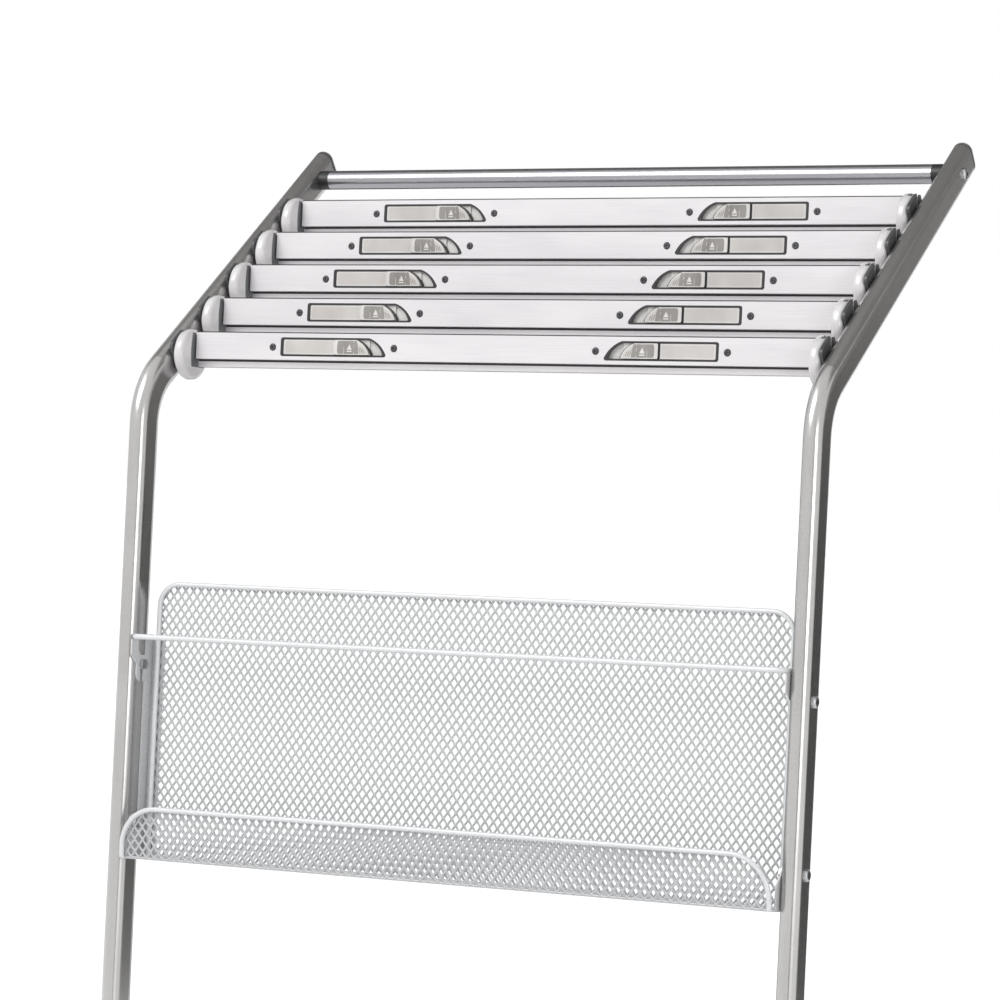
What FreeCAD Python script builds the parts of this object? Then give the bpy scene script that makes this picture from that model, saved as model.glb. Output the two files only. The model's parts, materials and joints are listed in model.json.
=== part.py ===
"""Periodical display rack: a bent-tube stand that carries five newspaper clamps on a
sloping head and one expanded-mesh magazine tray between its posts.

Frame of the model: millimetres, X to the right, Y to the back, Z up. The origin is on the
floor, in the middle of the rack's width and of its overall depth.
"""
import FreeCAD, Part
import math
import os

V = FreeCAD.Vector
X_AXIS = V(1, 0, 0)

# ---------------------------------------------------------------- driving dimensions
# posts: flat-oval steel tube, bent once
inner_width = 714.0          # clear width between the two posts
tube_width = 20.0            # flat-oval section across the rack
tube_depth = 35.0            # flat-oval section front to back
tube_wall = 1.5
post_lean = 6.0              # degrees that the upright stretch leans back
head_rise = 32.5             # degrees of the sloping head above the horizontal
bend_height = 922.0          # height of the corner where upright and head would meet
bend_radius = 70.0           # centre-line radius of the bend
head_length = 425.0          # from that corner to the tube's top end

# plugs in the top ends
cap_dome = 7.0
cap_round = 5.5
cap_neck = 1.2               # shadow gap between the tube's end and the dome
cap_neck_inset = 1.5
plug_depth = 12.0
plug_clearance = 0.3

# feet
foot_width = 40.0
foot_height = 25.0
foot_wall = 1.5
foot_corner = 4.0
foot_toe = 75.0              # foot in front of the post's centre line
foot_heel = 300.0            # foot behind it
foot_plug_lip = 4.0
glide_height = 14.0
glide_radius = 15.0
glide_stem_radius = 4.0
glide_stem_length = 10.0
glide_inset = 35.0           # glide centre from the foot's end

# cross tubes and their fastenings
cross_radius = 10.0
cross_wall = 1.5
collar_length = 12.0
collar_spigot = 15.0
top_tube_station = 398.5     # along the head, from the corner
lower_tube_height = 150.0
bolt_radius = 3.0
bolt_clearance = 0.2
bolt_head_radius = 6.0
bolt_head_height = 3.2
hex_key_radius = 2.0
hex_key_depth = 2.0

# newspaper clamps
clamp_count = 5
clamp_pitch = 62.7           # between clamps, along the head
first_clamp_station = 318.6  # top clamp, from the corner
clamp_rise = 7.0             # clamp face above the tube's centre line
clamp_lean = 6.0             # degrees that the clamp's face leans back
bar_end_room = 15.0          # end of the rear bar to the post
bar_length = inner_width - 2 * bar_end_room
bar_gap = 0.3                # between a moving bar and what it closes on
face_end_gap = 1.8           # end of the face bar to the end cap
face_top = 15.0              # face edges above and below the screw line
face_bottom = -12.5
face_thickness = 2.0
port_radius = 2.5            # round port along the face bar's top edge
port_bore = 1.5
pivot_clearance = 0.05
pivot_length = 12.0
jaw_thickness = 1.6
jaw_depth = 8.0
rear_wall = 1.6
rear_top = 14.5
rear_bottom = -20.2
rear_depth = 11.7

# end caps and the saddles that carry them
saddle_clearance = 0.3
saddle_plate = 3.0           # thickness against the post
drum_radius = 25.5
drum_length = bar_end_room - saddle_plate - saddle_clearance
drum_round = 4.5             # both rims of the drum
drum_y = 2.0                 # drum axis behind the face
drum_z = -8.2                # and below the screw line
hub_radius = 4.5
cap_slot_width = 3.0         # notch across the top of a drum
cap_slot_depth = 4.0
cap_slot_inset = 1.5
insert_clearance = 0.3
insert_length = 12.0
saddle_length = 34.0         # saddle along the head
saddle_below = 12.0          # its edges below and above the tube's centre line
saddle_above = 23.0
saddle_corner = 6.0
seat_gap = 0.3               # hub above the bottom of its notch

# slide latches in the face bar
window_inner = 120.0         # pointed end of the window, from the middle of the bar
window_outer = 241.0         # square end
window_bottom = -9.0
window_top = 9.9
window_slant = 19.0          # run of the slanted end
window_corner = 2.5
rim_fit = 0.1                # guide rim inside the window
rim_band = 1.8               # width of the rim above and below the slide
rim_tip = 4.2                # and at the pointed end
rim_end = 3.0                # and at the square end
slide_travel = 12.0
slide_fit = 0.3
slide_tip_room = 0.6         # slide clear of the rim's tip at full travel
thumb_outer = 178.0          # edge of the raised thumb grip
thumb_step = 2.0             # slide's tip in front of the grip
thumb_proud = 2.0
slide_recess = 0.6
slide_flange = 1.5           # thickness of the flange behind the face
slide_lip = 1.2              # flange above and below the slide
slide_lip_start = 3.0        # flange behind the slide's tip
scoop_radius = 14.0
scoop_depth = 1.2
scoop_place = 161.0
keeper_inner = 104.0         # keeper plate behind the slide
keeper_outer = 257.0
keeper_thickness = 1.5
keeper_boss_radius = 4.5
screw_inner = 111.0
screw_outer = 250.0
screw_radius = 1.5
screw_clearance = 0.1
screw_head_radius = 3.2
screw_head_height = 1.2
screw_tail = 0.8
screw_slot_width = 0.8
screw_slot_depth = 0.6

# magazine tray, in its own leaning frame: y behind the posts' centre line, z above its floor
tray_bottom = 456.0          # height of the tray's floor, on the posts' centre line
panel_height = 274.0
panel_half_width = inner_width / 2 - 10.0
panel_offset = 18.0          # panel behind the posts' centre line
panel_corner = 22.0
sheet_thickness = 1.6
mesh_pitch_x = 18.3          # diamond pitch across
mesh_pitch_z = 23.6          # and up the sheet
mesh_strand = 3.2
mesh_border = 5.0
pocket_depth = 38.0          # floor from the panel forward to the lip
lip_height = 50.0
lip_flare = 6.0              # the lip's top stands this much further forward
lip_half_bottom = inner_width / 2 - 4.5
lip_half_top = inner_width / 2 - 6.5
lip_corner = 40.0
rim_radius = 2.5
rail_radius = 2.75
rail_height = 220.0          # guard rail's axis above the tray's floor
rail_offset = -22.0          # and in front of the posts' centre line
rail_corner = 8.0            # the rail's ends turn back along the brackets
rail_return = 15.0           # and end here
rail_gap = 0.25              # rail clear of the post
bracket_thickness = 1.5
bracket_gap = 0.3            # bracket clear of the post
bracket_front = -20.0        # front edge of the U-shaped plate
bracket_back = 17.0
bracket_height = 24.0
bracket_taper = 9.0
bracket_slot_front = -7.5    # U-shaped opening, open at the plate's top
bracket_slot_back = 9.5
bracket_slot_depth = 16.0
web_front = 6.0              # strip that joins the plate to the lower lug
upper_bolt = 192.5           # tray bolts above the tray's floor, along the posts
lower_bolt = 33.0
hook_front = -9.5            # hook that hangs on the upper bolt
hook_back = 9.5
hook_drop = 18.0
lower_lug_radius = 10.0
nut_radius = 5.5
nut_height = 4.0

# ---------------------------------------------------------------- derived places
lean_rad = math.radians(post_lean)
rise_rad = math.radians(head_rise)
post_x = inner_width / 2 + tube_width / 2
outer_x = inner_width / 2 + tube_width
foot_top = glide_height + foot_height
up_dir = V(0, math.sin(lean_rad), math.cos(lean_rad))
up_back = V(0, math.cos(lean_rad), -math.sin(lean_rad))
head_dir = V(0, math.cos(rise_rad), math.sin(rise_rad))
head_normal = V(0, -math.sin(rise_rad), math.cos(rise_rad))

corner_y = bend_height * math.tan(lean_rad)
cap_reach = (head_length + cap_neck + cap_dome - cap_round) * head_dir.y
cap_reach += (tube_depth / 2 - cap_round) * head_dir.z + cap_round
reach_back = max(corner_y + cap_reach, foot_heel + foot_top * math.tan(lean_rad) + foot_plug_lip)
reach_front = foot_toe + foot_plug_lip - foot_top * math.tan(lean_rad)
shift_y = (reach_front - reach_back) / 2
floor_point = V(0, shift_y, 0)
corner = floor_point + V(0, corner_y, bend_height)
bend_angle = math.pi / 2 - lean_rad - rise_rad
bend_tangent = bend_radius * math.tan(bend_angle / 2)


def on_post(height, behind=0.0, x=0.0):
    """Point at a height on the upright's centre line, or behind it square to the tube."""
    along = height / up_dir.z
    return floor_point + up_dir * along + up_back * behind + V(x, 0, 0)


def on_head(station, above=0.0, x=0.0):
    """Point on the sloping head, from its corner, or above it square to the tube."""
    return corner + head_dir * station + head_normal * above + V(x, 0, 0)


# ---------------------------------------------------------------- small helpers
def polygon(points):
    return Part.Face(Part.makePolygon(list(points) + [points[0]]))


def cylinder(radius, start, end):
    way = end - start
    return Part.makeCylinder(radius, way.Length, start, way)


def box_between(low, high):
    size = high - low
    return Part.makeBox(size.x, size.y, size.z, low)


def fuse(shapes):
    first, rest = shapes[0], shapes[1:]
    return first.multiFuse(rest).removeSplitter() if rest else first


def mirrored(shape):
    return shape.mirror(V(0, 0, 0), X_AXIS)


def both_sides(shape):
    return [shape, mirrored(shape)]


def obround(centre, long_dir, width, depth):
    """Flat-oval wire: two straight sides and two round noses, long way along long_dir."""
    half_flat = long_dir * ((depth - width) / 2)
    side = X_AXIS * (width / 2)
    nose = long_dir * (depth / 2)
    a, b = centre + half_flat + side, centre + half_flat - side
    c, d = centre - half_flat - side, centre - half_flat + side
    edges = [Part.Arc(a, centre + nose, b).toShape(), Part.makeLine(b, c),
             Part.Arc(c, centre - nose, d).toShape(), Part.makeLine(d, a)]
    return Part.Wire(edges)


def bent_oval(width, depth, x, start_height, extra=0.0):
    """The post's section carried up the upright, round the bend and along the head."""
    low = on_post(start_height, x=x)
    bend_start = corner - up_dir * bend_tangent + V(x, 0, 0)
    bend_end = on_head(bend_tangent, x=x)
    top = on_head(head_length + extra, x=x)
    hub = bend_start + up_back * bend_radius
    upright = Part.Face(obround(low, up_back, width, depth)).extrude(bend_start - low)
    bend = Part.Face(obround(bend_start, up_back, width, depth))
    bend = bend.revolve(hub, X_AXIS, -math.degrees(bend_angle))
    head = Part.Face(obround(bend_end, head_normal, width, depth)).extrude(top - bend_end)
    return fuse([upright, bend, head])


# ---------------------------------------------------------------- stand
def make_post(side):
    x = side * post_x
    # the tube starts below the foot's top face and is trimmed level with it
    below = foot_top - tube_depth
    tube = bent_oval(tube_width, tube_depth, x, below)
    hollow = bent_oval(tube_width - 2 * tube_wall, tube_depth - 2 * tube_wall, x, below, 1.0)
    tube = tube.cut(hollow)
    trim_low = V(x - tube_width, floor_point.y - 2 * tube_depth, -foot_top)
    trim_high = V(x + tube_width, floor_point.y + 2 * tube_depth, foot_top)
    tube = tube.cut(box_between(trim_low, trim_high))
    for centre in frame_bolt_points() + tray_bolt_points():
        reach = V(tube_width, 0, 0)
        at = V(x, centre.y, centre.z)
        tube = tube.cut(cylinder(bolt_radius + bolt_clearance, at - reach, at + reach))
    return tube


def frame_bolt_points():
    return [on_head(top_tube_station), on_post(lower_tube_height)]


def tray_bolt_points():
    base = tray_bottom
    return [on_post(base) + up_dir * upper_bolt, on_post(base) + up_dir * lower_bolt]


def make_post_cap():
    """Domed plug in a post's top end."""
    end = on_head(head_length, x=post_x)
    dome = Part.Face(obround(end, head_normal, tube_width, tube_depth)).extrude(head_dir * cap_dome)
    far = [e for e in dome.Edges if all((v.Point - end).dot(head_dir) > cap_dome - 0.01
                                        for v in e.Vertexes)]
    dome = dome.makeFillet(cap_round, far)
    dome.translate(head_dir * cap_neck)
    gap = 2 * (tube_wall + plug_clearance)
    plug = Part.Face(obround(end, head_normal, tube_width - gap, tube_depth - gap))
    neck = Part.Face(obround(end, head_normal, tube_width - 2 * cap_neck_inset,
                             tube_depth - 2 * cap_neck_inset))
    return fuse([dome, neck.extrude(head_dir * cap_neck), plug.extrude(head_dir * -plug_depth)])


def rounded_rectangle(width, height, corner_radius, centre):
    """Wire in the XZ plane with rounded corners."""
    w, h, r = width / 2, height / 2, corner_radius
    k = r * (1 - math.sqrt(0.5))
    p = lambda dx, dz: centre + V(dx, 0, dz)
    edges = []
    for sx, sz in ((1, 1), (-1, 1), (-1, -1), (1, -1)):
        start, end = p(sx * w, sz * (h - r)), p(sx * (w - r), sz * h)
        if sx * sz < 0:
            start, end = end, start
        edges.append(Part.Arc(start, p(sx * (w - k), sz * (h - k)), end).toShape())
    lines = [Part.makeLine(edges[i].Vertexes[-1].Point, edges[(i + 1) % 4].Vertexes[0].Point)
             for i in range(4)]
    return Part.Wire(Part.__sortEdges__(edges + lines))


def foot_ends():
    y = floor_point.y + foot_top * math.tan(lean_rad)
    return y - foot_toe, y + foot_heel


def make_foot(side):
    front, back = foot_ends()
    centre = V(side * post_x, front, glide_height + foot_height / 2)
    way = V(0, back - front, 0)
    outer = Part.Face(rounded_rectangle(foot_width, foot_height, foot_corner, centre)).extrude(way)
    inner = Part.Face(rounded_rectangle(foot_width - 2 * foot_wall, foot_height - 2 * foot_wall,
                                        foot_corner - foot_wall, centre)).extrude(way)
    tube = outer.cut(inner)
    for y in glide_places():
        at = V(side * post_x, y, glide_height)
        tube = tube.cut(cylinder(glide_stem_radius, at - V(0, 0, 1), at + V(0, 0, foot_wall + 1)))
    return tube


def glide_places():
    front, back = foot_ends()
    return [front + glide_inset, back - glide_inset]


def make_foot_plug(y, outward):
    """Plug in one end of a foot."""
    centre = V(post_x, y, glide_height + foot_height / 2)
    lip = Part.Face(rounded_rectangle(foot_width, foot_height, foot_corner, centre))
    lip = lip.extrude(V(0, outward * foot_plug_lip, 0))
    far = [e for e in lip.Edges if all(abs(v.Y - y) > foot_plug_lip - 0.01 for v in e.Vertexes)]
    lip = lip.makeFillet(foot_plug_lip * 0.5, far)
    gap = 2 * (foot_wall + plug_clearance)
    inner_corner = foot_corner - foot_wall
    spigot = Part.Face(rounded_rectangle(foot_width - gap, foot_height - gap, inner_corner, centre))
    return fuse([lip, spigot.extrude(V(0, -outward * plug_depth, 0))])


def make_glide(y):
    """Push-in glide under a foot."""
    base = V(post_x, y, 0)
    pad = Part.makeCylinder(glide_radius, glide_height, base)
    low = [e for e in pad.Edges if len(e.Vertexes) == 1 and e.Vertexes[0].Z < 0.01]
    pad = pad.makeFillet(glide_height * 0.25, low)
    stem = Part.makeCylinder(glide_stem_radius, glide_stem_length, base + V(0, 0, glide_height))
    return fuse([pad, stem])


def make_cross_tube(centre):
    half = inner_width / 2 - collar_length
    start, end = centre - X_AXIS * half, centre + X_AXIS * half
    outer = cylinder(cross_radius, start, end)
    return outer.cut(cylinder(cross_radius - cross_wall, start, end))


def make_collar(centre):
    """Spacer between a cross tube and the post, with a spigot inside the tube."""
    face = V(inner_width / 2, centre.y, centre.z)
    shoulder = face - X_AXIS * collar_length
    ring = cylinder(cross_radius, shoulder, face)
    inner = cross_radius - cross_wall - plug_clearance
    spigot = cylinder(inner, shoulder - X_AXIS * collar_spigot, shoulder)
    bore = cylinder(bolt_radius, shoulder - X_AXIS * (collar_spigot + 1), face + X_AXIS)
    return fuse([ring, spigot]).cut(bore)


def button_bolt(centre, inner_end):
    """Button-head bolt from the post's outer face, with a hexagon socket in its head."""
    seat = V(outer_x, centre.y, centre.z)
    tip = V(inner_end, centre.y, centre.z)
    head = cylinder(bolt_head_radius, seat, seat + X_AXIS * bolt_head_height)
    rim = [e for e in head.Edges if len(e.Vertexes) == 1 and e.Vertexes[0].X > seat.x + 0.1]
    head = head.makeFillet(bolt_head_height * 0.8, rim)
    points = [V(seat.x + bolt_head_height - hex_key_depth,
                centre.y + hex_key_radius * math.cos(i * math.pi / 3),
                centre.z + hex_key_radius * math.sin(i * math.pi / 3)) for i in range(6)]
    socket = polygon(points).extrude(X_AXIS * (hex_key_depth + 1))
    return fuse([head, cylinder(bolt_radius, tip, seat)]).cut(socket)


# ---------------------------------------------------------------- newspaper clamps
def clamp_placement(index):
    spot = on_head(first_clamp_station - index * clamp_pitch, clamp_rise)
    return FreeCAD.Placement(spot, FreeCAD.Rotation(X_AXIS, -clamp_lean))


def placed(shape, index):
    done = shape.copy()
    done.Placement = clamp_placement(index).multiply(done.Placement)
    return done


def window_solid(inner, outer, bottom, top, corner, front, back):
    """Latch outline from one depth to another: square outer end, curved slanted inner end."""
    height = top - bottom
    slant = window_slant * height / (window_top - window_bottom)
    k = corner * (1 - math.sqrt(0.5))
    p = lambda x, z: V(x, front, z)
    tip, shoulder = p(inner, bottom + corner), p(inner + slant, top)
    middle = p(inner + slant * 0.36, bottom + height * 0.62)
    upper, lower = p(outer, top - corner), p(outer, bottom + corner)
    foot = p(inner + corner, bottom)
    edges = [Part.Arc(tip, middle, shoulder).toShape(),
             Part.makeLine(shoulder, p(outer - corner, top)),
             Part.Arc(p(outer - corner, top), p(outer - k, top - k), upper).toShape(),
             Part.makeLine(upper, lower),
             Part.Arc(lower, p(outer - k, bottom + k), p(outer - corner, bottom)).toShape(),
             Part.makeLine(p(outer - corner, bottom), foot),
             Part.Arc(foot, p(inner + k, bottom + k), tip).toShape()]
    return Part.Face(Part.Wire(edges)).extrude(V(0, back - front, 0))


def make_face_bar():
    """Front half of a clamp: a flat face with a pivot port on top and a jaw below."""
    half = bar_length / 2 - face_end_gap
    run = V(2 * half, 0, 0)
    plate = box_between(V(-half, 0, face_bottom), V(half, face_thickness, face_top))
    jaw = box_between(V(-half, 0, face_bottom), V(half, jaw_depth, face_bottom + jaw_thickness))
    port_at = V(-half, port_radius, face_top - port_radius)
    port = Part.makeCylinder(port_radius, run.x, port_at, X_AXIS)
    bar = fuse([plate, jaw, port])
    bar = bar.cut(Part.makeCylinder(port_bore, run.x + 2, port_at - X_AXIS, X_AXIS))
    window = window_solid(window_inner, window_outer, window_bottom, window_top, window_corner,
                          -1, face_thickness + 1)
    bar = bar.cut(Part.makeCompound(both_sides(window)))
    holes = []
    for x in (screw_inner, screw_outer):
        hole = cylinder(screw_radius + screw_clearance, V(x, -1, 0), V(x, face_thickness + 1, 0))
        holes += both_sides(hole)
    return bar.cut(Part.makeCompound(holes))


def make_rear_bar():
    """Back half of a clamp: a channel open to the back, deeper than the face."""
    half = bar_length / 2
    front = jaw_depth + bar_gap
    back = front + rear_depth
    outer = box_between(V(-half, front, rear_bottom), V(half, back, rear_top))
    inner = box_between(V(-half - 1, front + rear_wall, rear_bottom + rear_wall),
                        V(half + 1, back + 1, rear_top - rear_wall))
    return outer.cut(inner)


def make_end_cap():
    """Right-hand end cap: rounded drum, hub, pivot pin and an insert in the rear bar."""
    inner, outer = bar_length / 2, bar_length / 2 + drum_length
    axis_in, axis_out = V(inner, drum_y, drum_z), V(outer, drum_y, drum_z)
    drum = cylinder(drum_radius, axis_in, axis_out)
    rims = [e for e in drum.Edges if len(e.Vertexes) == 1]
    drum = drum.makeFillet(drum_round, rims)
    slot_x = outer - cap_slot_inset
    slot = box_between(V(slot_x - cap_slot_width, drum_y - drum_radius,
                         drum_z + drum_radius - cap_slot_depth),
                       V(slot_x, drum_y + drum_radius, drum_z + drum_radius + 1))
    hub_end = V(inner_width / 2 - saddle_clearance, drum_y, drum_z)
    hub = cylinder(hub_radius, axis_out - X_AXIS, hub_end)
    pin_at = V(inner, port_radius, face_top - port_radius)
    pin = cylinder(port_bore - pivot_clearance, pin_at - X_AXIS * pivot_length, pin_at)
    gap = rear_wall + insert_clearance
    front = jaw_depth + bar_gap + gap
    insert = box_between(V(inner - insert_length, front, rear_bottom + gap),
                         V(inner, jaw_depth + bar_gap + rear_depth, rear_top - gap))
    return fuse([drum.cut(slot), hub, pin, insert])


def make_slide():
    """Right-hand latch slide: flat tongue, raised thumb grip and a flange behind the face."""
    low, high = window_bottom + rim_band + slide_fit, window_top - rim_band - slide_fit
    inner = window_inner + rim_tip + slide_travel + slide_tip_room
    outer = window_outer - rim_end - slide_fit
    behind = face_thickness + slide_fit
    corner = window_corner / 2
    tongue = window_solid(inner, outer, low, high, corner, slide_recess, behind)
    grip = window_solid(inner + thumb_step, thumb_outer, low, high, corner, -thumb_proud, behind)
    scoop_at = V(scoop_place, scoop_depth - thumb_proud - scoop_radius, low - 1)
    scoop = Part.makeCylinder(scoop_radius, high - low + 2, scoop_at, V(0, 0, 1))
    flange = box_between(V(inner + slide_lip_start, behind, low - slide_lip),
                         V(outer, behind + slide_flange, high + slide_lip))
    return fuse([tongue, grip.cut(scoop), flange])


def make_keeper():
    """Slide's guide: a rim in the window, and a plate behind it with a boss at each screw."""
    front = face_thickness + slide_fit + slide_flange + slide_fit
    plate = box_between(V(keeper_inner, front, window_bottom),
                        V(keeper_outer, front + keeper_thickness, window_top))
    rim = window_solid(window_inner + rim_fit, window_outer - rim_fit, window_bottom + rim_fit,
                       window_top - rim_fit, window_corner, 0, face_thickness)
    opening = window_solid(window_inner + rim_tip, window_outer - rim_end, window_bottom + rim_band,
                           window_top - rim_band, window_corner / 2, -1, face_thickness + 1)
    end_wall = box_between(V(window_outer - rim_end, 0, window_bottom + window_corner),
                           V(window_outer - rim_fit, front, window_top - window_corner))
    shapes, holes = [plate, rim.cut(opening), end_wall], []
    for x in (screw_inner, screw_outer):
        shapes.append(cylinder(keeper_boss_radius, V(x, face_thickness, 0), V(x, front, 0)))
        holes.append(cylinder(screw_radius + screw_clearance, V(x, 0, 0),
                              V(x, front + keeper_thickness + 1, 0)))
    return fuse(shapes).cut(Part.makeCompound(holes))


def make_screw(x):
    """Small pan-head screw with a cross recess, through the face, boss and keeper."""
    end = face_thickness + 2 * slide_fit + slide_flange + keeper_thickness + screw_tail
    head = cylinder(screw_head_radius, V(x, -screw_head_height, 0), V(x, 0, 0))
    rim = [e for e in head.Edges if len(e.Vertexes) == 1 and e.Vertexes[0].Y < -0.1]
    head = head.makeFillet(screw_head_height * 0.6, rim)
    body = fuse([head, cylinder(screw_radius, V(x, 0, 0), V(x, end, 0))])
    arm, half = screw_head_radius * 0.6, screw_slot_width / 2
    top = -screw_head_height - 1
    deep = -screw_head_height + screw_slot_depth
    cross = fuse([box_between(V(x - arm, top, -half), V(x + arm, deep, half)),
                  box_between(V(x - half, top, -arm), V(x + half, deep, arm))])
    return body.cut(cross)


def hub_centre(index):
    return clamp_placement(index).multVec(V(0, drum_y, drum_z))


def make_saddle(index):
    """Plate on the right post's inner face, standing above the tube, with an open notch for
    one end cap's hub."""
    hub = hub_centre(index)
    notch = hub_radius + seat_gap
    near, far = inner_width / 2 - saddle_plate, inner_width / 2
    station = (hub - corner).dot(head_dir)
    low, high = station - saddle_length / 2, station + saddle_length / 2
    points = [on_head(low, -saddle_below, near), on_head(high, -saddle_below, near),
              on_head(high, saddle_above, near), on_head(low, saddle_above, near)]
    body = polygon(points).extrude(V(far - near, 0, 0))
    across = [e for e in body.Edges if abs(e.Vertexes[0].X - e.Vertexes[1].X) > 1]
    body = body.makeFillet(saddle_corner, across)
    round_seat = cylinder(notch, V(near - 1, hub.y, hub.z), V(far + 1, hub.y, hub.z))
    throat = box_between(V(near - 1, hub.y - notch, hub.z),
                         V(far + 1, hub.y + notch, hub.z + 2 * saddle_above))
    return body.cut(fuse([round_seat, throat]))


# ---------------------------------------------------------------- magazine tray
tray_placement = FreeCAD.Placement(on_post(tray_bottom), FreeCAD.Rotation(X_AXIS, -post_lean))


def in_tray(shape):
    """Tray pieces are drawn upright at the tray's floor and then leaned with the posts."""
    done = shape.copy()
    done.Placement = tray_placement.multiply(done.Placement)
    return done


def rounded_panel_points(half_bottom, half_top, height, corner_radius, inset=0.0):
    """Corner points and arcs of a sheet that is square below and rounded above."""
    bottom, top = half_bottom - inset, half_top - inset
    high = height - inset
    r = max(corner_radius - inset, 1.0)
    side_z = high - r
    side_x = bottom + (top - bottom) * side_z / high
    k = r * (1 - math.sqrt(0.5))
    return bottom, side_x, side_z, high, r, k


def sheet_wire(half_bottom, half_top, height, corner_radius, inset=0.0):
    """Outline in the XZ plane at y = 0, starting from z = inset."""
    bottom, side_x, side_z, high, r, k = rounded_panel_points(
        half_bottom, half_top, height, corner_radius, inset)
    low = inset
    right = [V(bottom, 0, low), V(side_x, 0, side_z), V(side_x - k, 0, high - k),
             V(side_x - r, 0, high)]
    left = [V(-p.x, 0, p.z) for p in right]
    edges = [Part.makeLine(left[0], right[0]), Part.makeLine(right[0], right[1]),
             Part.Arc(right[1], right[2], right[3]).toShape(),
             Part.makeLine(right[3], left[3]),
             Part.Arc(left[3], left[2], left[1]).toShape(), Part.makeLine(left[1], left[0])]
    return Part.Wire(edges)


def diamond(x, z, half_w, half_h):
    return Part.makePolygon([V(x - half_w, 0, z), V(x, 0, z + half_h), V(x + half_w, 0, z),
                             V(x, 0, z - half_h), V(x - half_w, 0, z)])


def mesh_sheet(half_bottom, half_top, height, corner_radius, pitch_x, pitch_z):
    """Expanded-metal sheet: staggered diamond holes inside a plain border."""
    outline = sheet_wire(half_bottom, half_top, height, corner_radius)
    allowed = Part.Face(sheet_wire(half_bottom, half_top, height, corner_radius, mesh_border))
    cell = math.hypot(pitch_x, pitch_z) / 2
    half_w = (pitch_x - mesh_strand * cell * 2 / pitch_z) / 2
    half_h = half_w * pitch_z / pitch_x
    columns = int(half_bottom / pitch_x) + 1
    rows = int(height / pitch_z * 2) + 1
    holes = []
    for row in range(1, rows):
        z = row * pitch_z / 2
        offset = pitch_x / 2 if row % 2 else 0.0
        for column in range(-columns, columns + 1):
            x = column * pitch_x + offset
            tips = [V(x - half_w, 0, z), V(x + half_w, 0, z), V(x, 0, z - half_h),
                    V(x, 0, z + half_h)]
            if all(allowed.isInside(p, 0.01, True) for p in tips):
                holes.append(diamond(x, z, half_w, half_h))
    face = Part.Face([outline] + holes)
    return face.extrude(V(0, sheet_thickness, 0))


def make_panel():
    sheet = mesh_sheet(panel_half_width, panel_half_width, panel_height, panel_corner,
                       mesh_pitch_x, mesh_pitch_z)
    sheet.translate(V(0, panel_offset, 0))
    return in_tray(sheet)


def make_lip():
    """Front lip: its own leaning sheet, from the floor's front edge up."""
    lean = math.degrees(math.atan2(lip_flare, lip_height))
    sheet = mesh_sheet(lip_half_bottom, lip_half_top, lip_height, lip_corner,
                       mesh_pitch_x, mesh_pitch_z)
    sheet.rotate(V(0, 0, 0), X_AXIS, lean)
    sheet.translate(V(0, panel_offset - pocket_depth - sheet_thickness, 0))
    return in_tray(sheet)


def make_floor():
    """Narrow floor strip with slots, between the panel's foot and the lip's."""
    depth = pocket_depth
    half_width = bracket_inner_x()
    strip = box_between(V(-half_width, panel_offset - depth, -sheet_thickness),
                        V(half_width, panel_offset + sheet_thickness, 0))
    slots = []
    count = int(panel_half_width / mesh_pitch_x)
    half = (mesh_pitch_x - mesh_strand * 2) / 2
    for column in range(-count + 1, count):
        x = column * mesh_pitch_x
        slots.append(box_between(V(x - half, panel_offset - depth + mesh_border, -sheet_thickness - 1),
                                 V(x + half, panel_offset - mesh_border, 1)))
    return in_tray(strip.cut(Part.makeCompound(slots)))


def wire_along(path_edges, radius, start, direction):
    """Round wire carried along tangent lines and arcs."""
    path = Part.Wire(path_edges)
    ring = Part.Wire([Part.Circle(start, direction, radius).toShape()])
    return path.makePipeShell([ring], True, True)


def open_rim_edges(half_bottom, half_top, height, corner_radius, y):
    """Up one side, across the top and down the other, as lines and arcs."""
    bottom, side_x, side_z, high, r, k = rounded_panel_points(
        half_bottom, half_top, height, corner_radius)
    right = [V(bottom, y, 0), V(side_x, y, side_z), V(side_x - k, y, high - k),
             V(side_x - r, y, high)]
    left = [V(-p.x, y, p.z) for p in right]
    return [Part.makeLine(right[0], right[1]), Part.Arc(right[1], right[2], right[3]).toShape(),
            Part.makeLine(right[3], left[3]), Part.Arc(left[3], left[2], left[1]).toShape(),
            Part.makeLine(left[1], left[0])]


def make_panel_rim():
    edges = open_rim_edges(panel_half_width, panel_half_width, panel_height, panel_corner, 0)
    start = edges[0].Vertexes[0].Point
    rim = wire_along(edges, rim_radius, start, V(0, 0, 1))
    rim.translate(V(0, panel_offset - rim_radius, 0))
    return in_tray(rim)


def make_lip_rim():
    lean = math.degrees(math.atan2(lip_flare, lip_height))
    edges = open_rim_edges(lip_half_bottom, lip_half_top, lip_height, lip_corner, 0)
    start = edges[0].Vertexes[0].Point
    rim = wire_along(edges, rim_radius, start, edges[0].Vertexes[1].Point - start)
    rim.rotate(V(0, 0, 0), X_AXIS, lean)
    rim.translate(V(0, panel_offset - pocket_depth - sheet_thickness - rim_radius, 0))
    return in_tray(rim)


def bracket_inner_x():
    return inner_width / 2 - bracket_gap - bracket_thickness


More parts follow.
